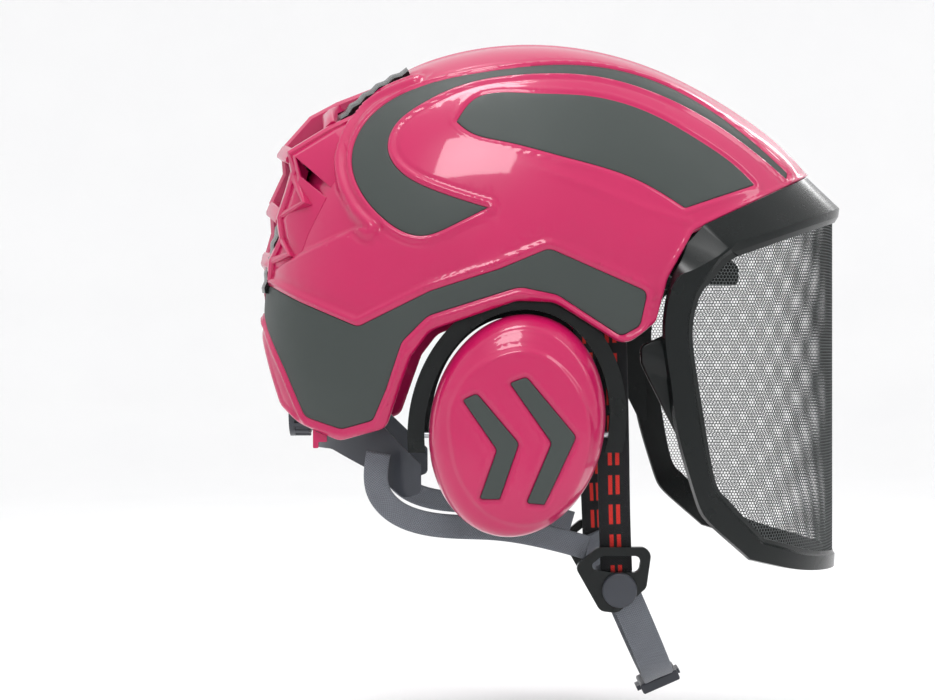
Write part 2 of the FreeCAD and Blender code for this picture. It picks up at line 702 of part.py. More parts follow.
def chin_strap():
    """Webbing under the chin from one divider to the other."""
    run = V(CHIN.x - DIVIDER.x, 0, CHIN.z - DIVIDER.z)
    drop = run.Length
    path = [(-69, 8), (-69, -12), (-65.5, -30), (-50, -drop + 12), (-26, -drop + 2), (0, -drop),
            (26, -drop + 2), (50, -drop + 12), (65.5, -30), (69, -12), (69, 8)]
    strap = prism(ribbon(path, WEB_WALL), -WEB_WIDTH / 2, WEB_WIDTH / 2)
    strap.rotate(V(0, 0, 0), V(0, 0, 1), 90)
    strap.rotate(V(0, 0, 0), V(0, 1, 0), -math.degrees(math.atan2(run.x, -run.z)))
    strap.translate(V(DIVIDER.x, 0, DIVIDER.z))
    return strap


def strap_divider():
    """Triangular ring that gathers the three straps."""
    plate = prism(rounded(DIVIDER_OUTLINE), -DIVIDER_HALF, DIVIDER_HALF)
    plate = plate.cut(prism(rounded(DIVIDER_HOLE), -5, 5))
    plate.translate(DIVIDER + V(0, -5.0, 0))
    return plate


def divider_cap():
    """Round cap on the divider's rivet."""
    back = V(DIVIDER.x + 1, DIVIDER.y - 7.3, DIVIDER.z - 7)
    disc = rod(back, back + V(0, -3, 0), 9)
    rim = [e for e in disc.Edges if e.BoundBox.YLength < 0.01 and e.BoundBox.YMin < back.y - 2]
    return disc.makeFillet(1.2, rim)


def tilted_to_chin(shape):
    run = V(CHIN.x - DIVIDER.x, 0, CHIN.z - DIVIDER.z)
    shape.rotate(V(0, 0, 0), V(0, 1, 0), -math.degrees(math.atan2(run.x, -run.z)))
    shape.translate(CHIN)
    return shape


def buckle_body():
    """Side-release buckle on the chin strap, with windows for its two press tabs."""
    half = BUCKLE_LENGTH / 2
    wide = BUCKLE_WIDTH / 2
    body = box((-wide, -half, -6.5), (wide, half, -6.5 + BUCKLE_WALL - 2.3))
    windows = [box((s * wide - 5, -TAB_LENGTH / 2 - 0.5, -5.2), (s * wide + 5, TAB_LENGTH / 2 + 0.5, -2.0))
               for s in (-1, 1)]
    return tilted_to_chin(body.makeFillet(1.2, body.Edges).cut(windows))


def buckle_tab(side):
    """Press tab of the buckle; side is +1 at the front and -1 at the back."""
    wide = BUCKLE_WIDTH / 2
    tab = box((side * wide - 2.2, -TAB_LENGTH / 2, -4.9), (side * wide + 1.6, TAB_LENGTH / 2, -2.3))
    return tilted_to_chin(tab)


def lobe_tab():
    """Small hooked tab under the shell's rear lobe."""
    return prism(rounded(LOBE_TAB), -76, -73)


# ---------------------------------------------------------------- build
def both_sides(parts, name, shape):
    parts[name + "_right"] = shape
    parts[name + "_left"] = left_of(shape)


def shell_parts(parts, outer, inner):
    pocket = dome(-INLAY_DEPTH)
    rim = rim_cut()
    shell = outer.cut(inner).common(rim)
    skin = outer.cut(pocket).common(rim)
    outlines = {
        "leaf_inlay": closed_curve(LEAF_TOP, LEAF_BOTTOM),
        "sweep_inlay": closed_curve(SWEEP_OUTER, SWEEP_INNER),
        "side_inlay": rounded(SIDE_INLAY),
    }
    for name, wire in outlines.items():
        piece = inlay(skin, wire)
        both_sides(parts, name, piece)
        shell = shell.cut([piece, left_of(piece)])
    parts["outer_shell"] = shell
    parts["rear_vent_cover"] = vent_cover(outer)
    tab = lobe_tab()
    parts["lobe_tabs"] = Part.makeCompound([tab, left_of(tab)]).cut(shell)


def head_parts(parts):
    parts["impact_liner"] = impact_liner()
    parts["headband"] = headband()
    parts["brow_pad"] = brow_pad()
    parts["crown_strap_long"] = crown_strap(*CROWN_LONG)
    cross = crown_strap(*CROWN_CROSS)
    cross.rotate(V(0, 0, 0), V(0, 0, 1), 90)
    parts["crown_strap_cross"] = cross
    parts["harness_clips"] = harness_clips()
    parts["nape_cradle"] = nape_cradle()
    parts["nape_pad"] = nape_pad()
    parts["size_knob"] = size_knob()


def visor_parts(parts, inner):
    parts["visor_frame"] = visor_frame()
    parts["visor_mesh"] = visor_mesh()
    parts["visor_arm_pins"] = arm_pins()
    both_sides(parts, "visor_arm", visor_arm())
    both_sides(parts, "visor_guide", visor_guide(inner))


def muff_parts(parts, inner):
    pieces = {
        "muff_bracket": muff_bracket(inner),
        "muff_carrier": muff_carrier(),
        "muff_yoke": yoke(),
        "cup_tilt_pins": tilt_pins(),
        "cup_cover": cup_cover(),
        "cup_chevrons": chevrons(),
        "cup_back": cup_back(),
        "cup_cushion": cushion(),
        "cup_foam": cup_foam(),
    }
    for name, shape in pieces.items():
        both_sides(parts, name, shape)


def strap_parts(parts):
    parts["chin_strap"] = chin_strap()
    parts["buckle_body"] = buckle_body()
    parts["buckle_tab_front"] = buckle_tab(1)
    parts["buckle_tab_rear"] = buckle_tab(-1)
    both_sides(parts, "front_strap", front_strap())
    both_sides(parts, "rear_strap", rear_strap())
    both_sides(parts, "strap_divider", strap_divider())
    both_sides(parts, "divider_cap", divider_cap())


def build():
    parts = {}
    outer = dome(0.0)
    inner = dome(-SHELL_WALL)
    shell_parts(parts, outer, inner)
    head_parts(parts)
    visor_parts(parts, inner)
    muff_parts(parts, inner)
    strap_parts(parts)
    return parts


os.makedirs("parts", exist_ok=True)
if __name__ == "__main__":
    for name, shape in build().items():
        print(name, len(shape.Solids), round(shape.Volume), shape.isValid())
        shape.exportStep("parts/%s.step" % name)
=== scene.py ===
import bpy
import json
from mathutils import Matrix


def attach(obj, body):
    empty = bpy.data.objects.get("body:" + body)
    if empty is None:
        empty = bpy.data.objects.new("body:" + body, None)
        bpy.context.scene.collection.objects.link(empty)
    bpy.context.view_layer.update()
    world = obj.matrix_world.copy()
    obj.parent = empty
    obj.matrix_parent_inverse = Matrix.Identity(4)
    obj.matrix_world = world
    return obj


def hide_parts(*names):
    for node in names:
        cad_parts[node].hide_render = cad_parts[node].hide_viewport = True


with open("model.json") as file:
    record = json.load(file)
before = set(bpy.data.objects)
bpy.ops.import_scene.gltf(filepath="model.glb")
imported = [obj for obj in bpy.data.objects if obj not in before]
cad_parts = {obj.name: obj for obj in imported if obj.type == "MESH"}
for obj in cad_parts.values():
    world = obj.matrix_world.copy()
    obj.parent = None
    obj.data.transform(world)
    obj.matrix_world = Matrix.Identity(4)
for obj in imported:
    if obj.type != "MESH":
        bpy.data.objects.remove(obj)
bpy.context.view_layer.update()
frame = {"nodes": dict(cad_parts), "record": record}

import json
import math

import bmesh
import bpy
import numpy as np
from mathutils import Vector, geometry, noise

# Outlines and offsets below are in millimetres, in the frame of the CAD model;
# MM turns them into Blender's metres when a mesh is made.
MM = 0.001
SIDES = (("right", -1), ("left", 1))

# ---- shell: a dome about a cross axis, as in the CAD model ----
DOME_X = 18.0
DOME_Z = -45.0
HALF_WIDTH = 108.0
SIDE_POWER = 2.3
SHELL_WALL = 3.0
DOME_PROFILE = [
    (-20, 190, 2.3), (0, 190, 2.3), (20, 188, 2.3), (35, 183.5, 2.3), (48, 176.5, 2.3),
    (62, 172, 2.3), (77, 169.5, 2.3), (92, 168, 2.3), (107, 167, 2.3), (122, 164.5, 2.35),
    (137, 158, 2.45), (150, 151, 2.6), (163, 146, 2.75), (176, 142.5, 2.9), (190, 141.5, 3.0),
    (206, 140.5, 2.9), (228, 139, 2.7),
]
RIM_OUTLINE = [
    (230, 76.3, 0), (104, 15.5, 5), (90, -9, 12), (84, -31, 6), (68, -43, 9), (33, -21, 14),
    (14, -20, 14), (-30, -35, 12), (-40, -48, 8), (-45, -62, 12), (-53, -85, 7), (-77, -92, 8),
    (-99, -83.5, 8), (-110, -74, 9), (-123, -38, 12), (-122.5, -9, 3), (-150, -9, 0),
    (-150, 150, 0), (230, 150, 0),
]
NECK_OPENING = [(-60, -140, 0), (-33, -50, 14), (33, -50, 14), (60, -140, 0)]
LEAF_TOP = [(-17, 73), (-8, 85.5), (21, 89), (53, 87.6), (84, 79), (110, 64.5), (129, 51), (139, 41)]
LEAF_BOTTOM = [(100, 27.3), (77, 41), (36, 54), (6, 62), (-10, 67), (-17, 73)]
SWEEP_OUTER = [
    (0, 27), (-18, 18), (-35, 12.5), (-53, 21), (-66, 36), (-72, 54), (-65, 76), (-36, 95),
    (-4, 102), (27, 106), (60, 106), (92, 98), (124, 80), (160, 49),
]
SWEEP_INNER = [
    (158, 45), (122, 73), (87, 91), (54, 99.5), (22, 99.8), (-10, 95), (-36, 83), (-50, 70),
    (-52, 58), (-45, 46.5), (-30, 37.5), (0, 27),
]
SIDE_INLAY = [
    (-122, -8, 4), (-98, -20, 20), (-67, -33, 5), (-30, -15, 30), (5, -4, 40), (30, 6.5, 7),
    (80, -15.5, 4), (76, -33, 5), (66, -38.5, 5), (34, -17.5, 10), (15, -13.5, 14),
    (-31, -28, 12), (-44, -41, 9), (-52, -65, 12), (-59, -81, 5), (-76, -86, 8),
    (-96, -80, 6), (-107, -56, 12), (-119, -34, 8), (-123, -24, 4),
]
ANGLE_SCALE = 3.0
ACROSS_SCALE = 2.2
FINE_STEP = 1.9
FINE_REACH = 8.0
INLAY_GAP = 0.15


# ---------------------------------------------------------------- curves
def spline(knots, values):
    """Natural cubic spline through values (one row per knot), as a function."""
    x = np.asarray(knots, float)
    y = np.asarray(values, float).reshape(len(x), -1)
    gap = np.diff(x)
    size = len(x)
    system = np.zeros((size, size))
    right = np.zeros_like(y)
    system[0, 0] = system[-1, -1] = 1.0
    for i in range(1, size - 1):
        system[i, i - 1:i + 2] = gap[i - 1], 2 * (gap[i - 1] + gap[i]), gap[i]
        right[i] = 6 * ((y[i + 1] - y[i]) / gap[i] - (y[i] - y[i - 1]) / gap[i - 1])
    bend = np.linalg.solve(system, right)

    def value(t):
        t = np.asarray(t, float)
        i = np.clip(np.searchsorted(x, t) - 1, 0, size - 2)
        h = gap[i][..., None]
        a = (x[i + 1] - t)[..., None]
        b = (t - x[i])[..., None]
        return (bend[i] * a ** 3 / (6 * h) + bend[i + 1] * b ** 3 / (6 * h)
                + (y[i] / h - bend[i] * h / 6) * a + (y[i + 1] / h - bend[i + 1] * h / 6) * b)
    return value


def unit(rows):
    """Each row scaled to length one."""
    return rows / np.maximum(np.linalg.norm(rows, axis=-1), 1e-9)[..., None]


def length_along(points):
    """Length of a polyline up to each of its points."""
    return np.concatenate([[0], np.cumsum(np.linalg.norm(np.diff(points, axis=0), axis=1))])


def smooth_path(points, step):
    """Points about step apart on a smooth curve through the given ones."""
    p = np.asarray(points, float)
    along = length_along(p)
    count = max(2, int(along[-1] / step) + 1)
    return spline(along, p)(np.linspace(0, along[-1], count))


def straight_path(points, step, closed=False):
    """Points at most step apart on the straight runs between the given ones."""
    p = [np.asarray(q, float) for q in points]
    if closed:
        p.append(p[0])
    out = []
    for a, b in zip(p[:-1], p[1:]):
        count = max(1, int(np.ceil(np.linalg.norm(b - a) / step)))
        out += [a + (b - a) * k / count for k in range(count)]
    if not closed:
        out.append(p[-1])
    return np.array(out)


def rounded(corners, step):
    """Closed outline with rounded corners (x, z, radius), as points step apart."""
    count = len(corners)
    out = []
    for i, (x, z, radius) in enumerate(corners):
        here = np.array([x, z], float)
        before = np.array(corners[i - 1][:2], float) - here
        after = np.array(corners[(i + 1) % count][:2], float) - here
        nb, na = np.linalg.norm(before), np.linalg.norm(after)
        inner = math.acos(np.clip(before @ after / nb / na, -1, 1))
        if radius == 0 or math.pi - inner < 0.02:
            out.append(here)
            continue
        reach = min(radius / math.tan(inner / 2), 0.47 * min(nb, na))
        radius = reach * math.tan(inner / 2)
        before, after = before / nb, after / na
        middle = before + after
        centre = here + middle / np.linalg.norm(middle) * radius / math.sin(inner / 2)
        start, end = here + before * reach - centre, here + after * reach - centre
        turn = math.pi - inner
        sign = np.sign(start[0] * end[1] - start[1] * end[0])
        pieces = max(3, int(turn * radius / step) + 1)
        for k in range(pieces + 1):
            c, s = math.cos(turn * k / pieces), sign * math.sin(turn * k / pieces)
            out.append(centre + np.array([c * start[0] - s * start[1], s * start[0] + c * start[1]]))
    return straight_path(out, step, closed=True)


def closed_curve(stretches, step):
    """Closed outline of smooth stretches joined by straight lines."""
    points = []
    for stretch in stretches:
        points += list(smooth_path(stretch, step))
    kept = [points[0]]
    for p in points[1:]:
        if np.linalg.norm(p - kept[-1]) > 1e-3:
            kept.append(p)
    if np.linalg.norm(kept[0] - kept[-1]) < 1e-3:
        kept.pop()
    return straight_path(kept, step, closed=True)


def inside(points, outline):
    """Which of the 2D points lie inside the closed outline."""
    x, z = points[:, 0], points[:, 1]
    result = np.zeros(len(points), bool)
    j = len(outline) - 1
    for i in range(len(outline)):
        xi, zi = outline[i]
        xj, zj = outline[j]
        if zi != zj:
            crossing = ((zi > z) != (zj > z)) & (x < (xj - xi) * (z - zi) / (zj - zi) + xi)
            result ^= crossing
        j = i
    return result


def distance(points, line, closed=True):
    """Distance from each point to a polyline, in any number of dimensions."""
    a = line
    b = np.roll(line, -1, axis=0)
    if not closed:
        a, b = line[:-1], line[1:]
    run = b - a
    length2 = np.maximum((run ** 2).sum(1), 1e-12)
    best = np.full(len(points), 1e9)
    for start in range(0, len(points), 2000):
        p = points[start:start + 2000]
        t = np.clip(((p[:, None] - a[None]) * run[None]).sum(2) / length2[None], 0, 1)
        gap = np.linalg.norm(p[:, None] - (a[None] + t[..., None] * run[None]), axis=2)
        best[start:start + 2000] = gap.min(1)
    return best


def depth_inside(points, outline):
    """Distance to a closed outline in the plane, negative outside it."""
    gap = distance(points, outline)
    return np.where(inside(points, outline), gap, -gap)


def step_up(value, low, high):
    """0 below low, 1 above high, smooth between."""
    t = np.clip((value - low) / (high - low), 0, 1)
    return t * t * (3 - 2 * t)


def bump(value, centre, half):
    """Round ridge of unit height, half wide each way about centre."""
    t = np.clip(1 - ((value - centre) / half) ** 2, 0, 1)
    return t * t


# ---------------------------------------------------------------- dome
profile = spline([row[0] for row in DOME_PROFILE], [row[1:] for row in DOME_PROFILE])


def dome_point(angle, across, offset=0.0):
    """Points of the dome's right half, in millimetres."""
    row = profile(angle)
    side = np.sin(np.radians(across)) ** (2 / SIDE_POWER)
    radius = (row[..., 0] + offset) * np.cos(np.radians(across)) ** (2 / row[..., 1])
    turn = np.radians(angle)
    return np.stack([DOME_X + radius * np.cos(turn), -(HALF_WIDTH + offset) * side,
                     DOME_Z + radius * np.sin(turn)], axis=-1)


def dome_angles(x, z):
    """Angle and across of the dome's point seen at x, z from the side."""
    angle = np.degrees(np.arctan2(z - DOME_Z, x - DOME_X))
    angle = np.where(angle < -60, angle + 360, angle)
    row = profile(angle)
    share = np.clip(np.hypot(x - DOME_X, z - DOME_Z) / row[..., 0], 0, 1)
    return angle, np.degrees(np.arccos(np.clip(share ** (row[..., 1] / 2), 0, 1)))


def on_dome(outline, offset=0.0):
    """Side-view outline laid on the dome."""
    angle, across = dome_angles(outline[:, 0], outline[:, 1])
    return dome_point(angle, across, offset)


def pushed(outline, points, out, shift):
    """Side view of points moved along out by shift: out of the outline, or into it if negative."""
    moved = points + out * shift
    if (inside(moved[:, [0, -1]], outline).mean() > 0.5) == (shift > 0):
        moved = points - out * shift
    return moved[:, [0, -1]]


def beside(outline, shift):
    """Side-view outline moved over the dome by shift, outward when positive."""
    points = on_dome(outline)
    run = unit(np.roll(points, -1, 0) - np.roll(points, 1, 0))
    return pushed(outline, points, np.cross(run, unit(on_dome(outline, 1.0) - points)), shift)


def shifted(outline, shift):
    """Closed plane outline moved by shift, outward when positive."""
    run = unit(np.roll(outline, -1, 0) - np.roll(outline, 1, 0))
    return pushed(outline, outline, np.stack([run[:, 1], -run[:, 0]], 1), shift)


LEAF = closed_curve([LEAF_TOP, LEAF_BOTTOM], 2.0)
SWEEP = closed_curve([SWEEP_OUTER, SWEEP_INNER], 2.0)
SIDE = rounded(SIDE_INLAY, 2.0)
RIM = rounded(RIM_OUTLINE, 2.0)
INLAYS = {"leaf_inlay": LEAF, "sweep_inlay": SWEEP, "side_inlay": SIDE}
INLAY_LINES = {name: on_dome(line) for name, line in INLAYS.items()}


def signed(points, name):
    """Distance to an inlay's edge over the dome, negative inside."""
    gap = distance(points, INLAY_LINES[name])
    return np.where(inside(points[:, ::2], INLAYS[name]), -gap, gap)


def neck_edge():
    """Edge of the neck opening on the dome's right half, as angle and across."""
    outline = rounded(NECK_OPENING, 2.0)
    rows = []
    for y, z in outline:
        if y > 0 or z < -100:
            continue
        across = math.degrees(math.asin((abs(y) / HALF_WIDTH) ** (SIDE_POWER / 2)))
        low, high = 180.0, 228.0
        for _ in range(40):
            middle = (low + high) / 2
            if dome_point(np.array(middle), np.array(across))[2] > z:
                low = middle
            else:
                high = middle
        rows.append((low, across))
    rows.sort(key=lambda row: row[1])
    if rows[0][1] > 0.01:
        rows.insert(0, (rows[0][0], 0.0))
    return np.array(rows)


NECK_EDGE = neck_edge()
NECK_LINE = dome_point(NECK_EDGE[:, 0], NECK_EDGE[:, 1])


def over_dome(line, margin):
    """The points of a side-view line that lie over the dome, or within margin of it."""
    reach = profile(dome_angles(line[:, 0], line[:, 1])[0])[:, 0]
    return line[np.hypot(line[:, 0] - DOME_X, line[:, 1] - DOME_Z) < reach + margin]


def rim_gap(points):
    """Distance over the dome to the shell's rim or neck opening."""
    side = distance(points[:, ::2], RIM)
    slope = np.sqrt(np.clip(1 - (points[:, 1] / HALF_WIDTH) ** 2, 0.05, 1))
    neck = distance(points, NECK_LINE, closed=False)
    return np.minimum(side / np.maximum(0.55, 1 - 0.5 * slope), neck)


# ---------------------------------------------------------------- shell relief
COLLAR = smooth_path([(-40, 100), (-66, 88), (-77, 72), (-81, 56), (-78, 40), (-70, 25), (-62, 17)], 2.0)
COLLAR_LINE = on_dome(COLLAR)
LEDGE = straight_path([(-62, 17), (-112, -1)], 2.0)
LEDGE_LINE = on_dome(LEDGE)
CREASE = smooth_path([(10, 52), (50, 38), (78, 27), (101, 20)], 2.0)
CREASE_LINE = on_dome(CREASE)
REAR_FACET = np.array([(-48, 104), (-66, 88), (-77, 72), (-81, 56), (-78, 40), (-70, 25), (-64, 18),
                       (-112, -1), (-160, -1), (-160, 130), (-60, 130)], float)
REAR_FACET_LINE = on_dome(straight_path(REAR_FACET[:8], 3.0))
REAR_RECESS = 2.2
SPINE_HALF = 17.0
SPINE_RAISE = 0.5
RIM_RAISE = 0.7
POCKET_DEPTH = 1.1
RIM_RADIUS = 1.4
# ridges and, with a negative height, grooves: height, distance of the middle from the edge, half width
INLAY_RIDGES = {
    "leaf_inlay": ((-0.45, 0.2, 1.2), (0.35, 2.2, 1.6)),
    "sweep_inlay": ((0.95, 1.9, 1.9), (-0.35, 4.6, 1.6)),
    "side_inlay": ((1.2, 2.4, 2.3), (-0.5, 6.2, 3.2)),
}
COLLAR_RIDGES = ((1.5, 2.2, 3.8), (-0.9, 7.0, 2.6))
SPINE_RIDGE = (0.9, SPINE_HALF, 3.0)
CREASE_RIDGE = (0.6, 0.0, 3.4)


def ridges(gap, rows):
    """Height of all the given ridges at a distance gap from the line that they follow."""
    return sum(height * bump(gap, middle, half) for height, middle, half in rows)


def relief(points):
    """Height of the shell's surface over the plain dome, and drop of its rounded rim."""
    gaps = {name: signed(points, name) for name in INLAYS}
    height = sum(ridges(gaps[name], rows) for name, rows in INLAY_RIDGES.items())
    in_rear = inside(points[:, ::2], REAR_FACET)
    collar = distance(points, COLLAR_LINE, closed=False)
    height += ridges(np.where(in_rear, -collar, collar), COLLAR_RIDGES)
    crease = distance(points, CREASE_LINE, closed=False)
    height += ridges(crease, [CREASE_RIDGE]) * step_up(points[:, 0], 12, 48)
    rear = distance(points, REAR_FACET_LINE, closed=False)
    height -= REAR_RECESS * step_up(np.where(in_rear, rear, -rear), -0.5, 4.0)
    spine = np.abs(points[:, 1])
    raised = SPINE_RAISE * step_up(-spine, -SPINE_HALF, -SPINE_HALF + 5)
    height += step_up(points[:, 0], -60, -30) * (ridges(spine, [SPINE_RIDGE]) + raised)
    rim = rim_gap(points)
    height += RIM_RAISE * step_up(-rim, -4.5, -2.5)
    height = np.where(np.min(list(gaps.values()), axis=0) < -0.1, -POCKET_DEPTH, height)
    lip = RIM_RADIUS - np.clip(rim, 0, RIM_RADIUS)
    return height, -RIM_RADIUS + np.sqrt(np.maximum(RIM_RADIUS ** 2 - lip ** 2, 0))


def triangulate(loops, fill, keep):
    """Triangles of a plane region: loops are (points, closed), keep picks by centre."""
    points, edges = [], []
    for loop, closed in loops:
        start = len(points)
        points += [tuple(p) for p in loop]
        edges += [(start + k, start + k + 1) for k in range(len(loop) - 1)]
        if closed:
            edges.append((start + len(loop) - 1, start))
    points += [tuple(p) for p in fill]
    verts, _, tris, _, _, _ = geometry.delaunay_2d_cdt([Vector(p) for p in points], edges, [], 0, 1e-4)
    flat = np.array([tuple(v) for v in verts])
    tris = np.array([t for t in tris if len(t) == 3])
    tris = tris[keep(flat[tris].mean(1))]
    used, tris = np.unique(tris, return_inverse=True)
    return flat[used], tris.reshape(-1, 3)


def to_plane(outline):
    """Side-view outline as points of the plane in which the dome is triangulated."""
    angle, across = dome_angles(outline[:, 0], outline[:, 1])
    return np.stack([angle * ANGLE_SCALE, across * ACROSS_SCALE], 1)


DOME_PLANE = (-20 * ANGLE_SCALE, 1.5, 230 * ANGLE_SCALE, 90 * ACROSS_SCALE)


def fill_points(spacing, loops, margin, area=DOME_PLANE):
    """Even lattice over a plane area (low u, low v, high u, high v), thinned out beside the loops."""
    rows = []
    u = np.arange(area[0], area[2], spacing)
    v = np.arange(area[1], area[3], spacing * 0.87)
    for k, across in enumerate(v):
        rows.append(np.stack([u + (k % 2) * spacing / 2, np.full_like(u, across)], 1))
    lattice = np.concatenate(rows)
    near = np.concatenate([loop for loop, _ in loops])
    cell = {}
    for p in near:
        cell.setdefault((int(p[0] // margin), int(p[1] // margin)), []).append(p)
    kept = []
    for p in lattice:
        i, j = int(p[0] // margin), int(p[1] // margin)
        close = [q for a in (-1, 0, 1) for b in (-1, 0, 1) for q in cell.get((i + a, j + b), ())]
        if all((q[0] - p[0]) ** 2 + (q[1] - p[1]) ** 2 > margin ** 2 for q in close):
            kept.append(p)
    return np.array(kept)


def plane_to_dome(flat, offset=0.0):
    """Points of the dome for points of that plane."""
    return dome_point(flat[:, 0] / ANGLE_SCALE, np.clip(flat[:, 1] / ACROSS_SCALE, 0, 89.9), offset)


def in_shell(flat):
    """Which plane points belong to the shell."""
    p = plane_to_dome(flat)
    neck = inside(p[:, 1:], rounded(NECK_OPENING, 4.0)) & (p[:, 0] < -40)
    return inside(p[:, ::2], RIM) & ~neck & (flat[:, 1] > 1e-3)


# ---------------------------------------------------------------- meshes
def mesh_object(name, verts, faces, smooth=True):
    """Mesh object from millimetre vertices."""
    mesh = bpy.data.meshes.new(name)
    mesh.from_pydata([tuple(c * MM for c in v) for v in verts], [], [tuple(int(i) for i in f) for f in faces])
    mesh.validate()
    mesh.update()
    if smooth:
        mesh.polygons.foreach_set("use_smooth", [True] * len(mesh.polygons))
    obj = bpy.data.objects.new(name, mesh)
    bpy.context.scene.collection.objects.link(obj)
    return obj


def tidy_normals(obj, merge=None):
    """Turns all faces outward, after merging vertices closer than merge."""
    work = bmesh.new()
    work.from_mesh(obj.data)
    if merge:
        bmesh.ops.remove_doubles(work, verts=work.verts, dist=merge * MM)
    bmesh.ops.recalc_face_normals(work, faces=work.faces)
    work.to_mesh(obj.data)
    work.free()
    return obj


def tube_faces(rings, around, start=0, closed=False):
    """Faces between rings of points, with an end cap at each end unless the tube closes on itself."""
    faces = []
    for i in range(rings if closed else rings - 1):
        a, b = start + i * around, start + (i + 1) % rings * around
        for k in range(around):
            m = (k + 1) % around
            faces.append((a + k, b + k, b + m, a + m))
    if not closed:
        last = start + (rings - 1) * around
        faces.append(tuple(start + k for k in range(around)))
        faces.append(tuple(last + k for k in reversed(range(around))))
    return faces


def disc_faces(middle, start, rings, around):
    """Faces of rings of points about a middle point, from the inmost ring outward."""
    faces = []
    for k in range(around):
        m = (k + 1) % around
        faces.append((middle, start + k, start + m))
        for a in range(start, start + (rings - 1) * around, around):
            faces.append((a + k, a + around + k, a + around + m, a + m))
    return faces


def boundary(tris):
    """Directed edges that only one triangle uses."""
    edges = dict.fromkeys(edge for a, b, c in tris for edge in ((a, b), (b, c), (c, a)))
    return [(a, b) for a, b in edges if (b, a) not in edges]


def doubled(name, outer, inner, tris, whole=False):
    """Closed mesh between two copies of a triangulation; a whole one joins its mirror image at Y = 0."""
    count = len(outer)
    faces = [tuple(t) for t in tris] + [(a + count, c + count, b + count) for a, b, c in tris]
    for a, b in boundary(tris):
        if not (whole and abs(outer[a][1]) < 1e-3 and abs(outer[b][1]) < 1e-3):
            faces.append((b, a, a + count, b + count))
    verts = np.concatenate([outer, inner])
    if whole:
        total = len(verts)
        verts = np.concatenate([verts, verts * [1, -1, 1]])
        faces += [tuple(i + total for i in reversed(f)) for f in faces]
    return tidy_normals(mesh_object(name, verts, faces), merge=0.001)


def mirrored(obj, name):
    """Left-hand twin of a right-hand mesh."""
    mesh = obj.data.copy()
    mesh.transform(((1, 0, 0, 0), (0, -1, 0, 0), (0, 0, 1, 0), (0, 0, 0, 1)))
    mesh.flip_normals()
    twin = bpy.data.objects.new(name, mesh)
    bpy.context.scene.collection.objects.link(twin)
    return twin


# ---------------------------------------------------------------- shell and inlays
def fine_points(loops):
    """Closer lattice on the dome near the inlays, ridges and rim."""
    lattice = fill_points(FINE_STEP, loops, 0.7)
    lattice = lattice[in_shell(lattice)]
    place = plane_to_dome(lattice)
    near = rim_gap(place) < 6
    for line in (*INLAY_LINES.values(), COLLAR_LINE, LEDGE_LINE, CREASE_LINE):
        near |= distance(place, line, closed=len(line) > 90) < FINE_REACH
    near |= np.abs(np.abs(place[:, 1]) - SPINE_HALF) < 5
    return lattice[near]


def make_shell():
    """Outer shell: fine triangles along its ridges and edges, coarser ones between them."""
    loops = []
    for line in INLAYS.values():
        for shift in (1.2, 0.5, 0.0, -0.12):
            loops.append((to_plane(beside(line, shift) if shift else line), True))
    for line in (COLLAR, LEDGE, CREASE):
        loops.append((to_plane(line), False))
    loops.append((to_plane(over_dome(RIM, 4)), False))
    for shift in (-0.5, -1.4, -2.6):
        loops.append((to_plane(over_dome(shifted(RIM, shift), 3)), False))
    for shift in (0.0, 0.6, 1.5, 3.0):
        lifted = NECK_EDGE * [ANGLE_SCALE, ACROSS_SCALE] - [shift, 0]
        loops.append((lifted, False))
    middle = np.arange(28, 212, 1.0) * ANGLE_SCALE
    loops.append((np.stack([middle, np.zeros_like(middle)], 1), False))
    fine = fine_points(loops)
    coarse = fill_points(5.0, loops + [(fine, False)], 2.2)
    flat, tris = triangulate(loops, np.concatenate([fine, coarse]), in_shell)
    height, lip = relief(plane_to_dome(flat))
    outer = plane_to_dome(flat, height + lip)
    inner = plane_to_dome(flat, -SHELL_WALL - lip + np.minimum(height + 1.2, 0))
    return doubled("shell_skin", outer, inner, tris, whole=True)


def make_inlay(name):
    """Right and left skins of an inlay, set in its pocket with a rounded edge."""
    line = INLAYS[name]
    edge, *rounding = (beside(line, -shift) for shift in (INLAY_GAP, 0.5, 1.1))
    loops = [(to_plane(part), True) for part in (edge, *rounding)]

    def keep(flat):
        p = plane_to_dome(flat)
        return inside(p[:, ::2], edge) & (np.abs(p[:, 1]) > 1)

    flat, tris = triangulate(loops, fill_points(5.0, loops, 2.0), keep)
    depth = -signed(plane_to_dome(flat), name) - INLAY_GAP
    lip = -0.5 * (1 - np.sqrt(np.clip(1 - (1 - np.clip(depth / 0.7, 0, 1)) ** 2, 0, 1)))
    outer, inner = plane_to_dome(flat, -0.3 + lip), plane_to_dome(flat, -1.0)
    return [doubled(name + "_skin_" + side, outer * [1, -sign, 1], inner * [1, -sign, 1], tris[:, ::-sign])
            for side, sign in SIDES]


# ---------------------------------------------------------------- materials
def linear(red, green, blue):
    """sRGB colour from 0 to 255 as a shader colour."""
    values = [c / 255 for c in (red, green, blue)]
    return tuple(c / 12.92 if c <= 0.04045 else ((c + 0.055) / 1.055) ** 2.4 for c in values) + (1.0,)


def scaled(colour, factor):
    """The colour made lighter or darker."""
    return tuple(min(1.0, c * factor) for c in colour[:3]) + (1.0,)


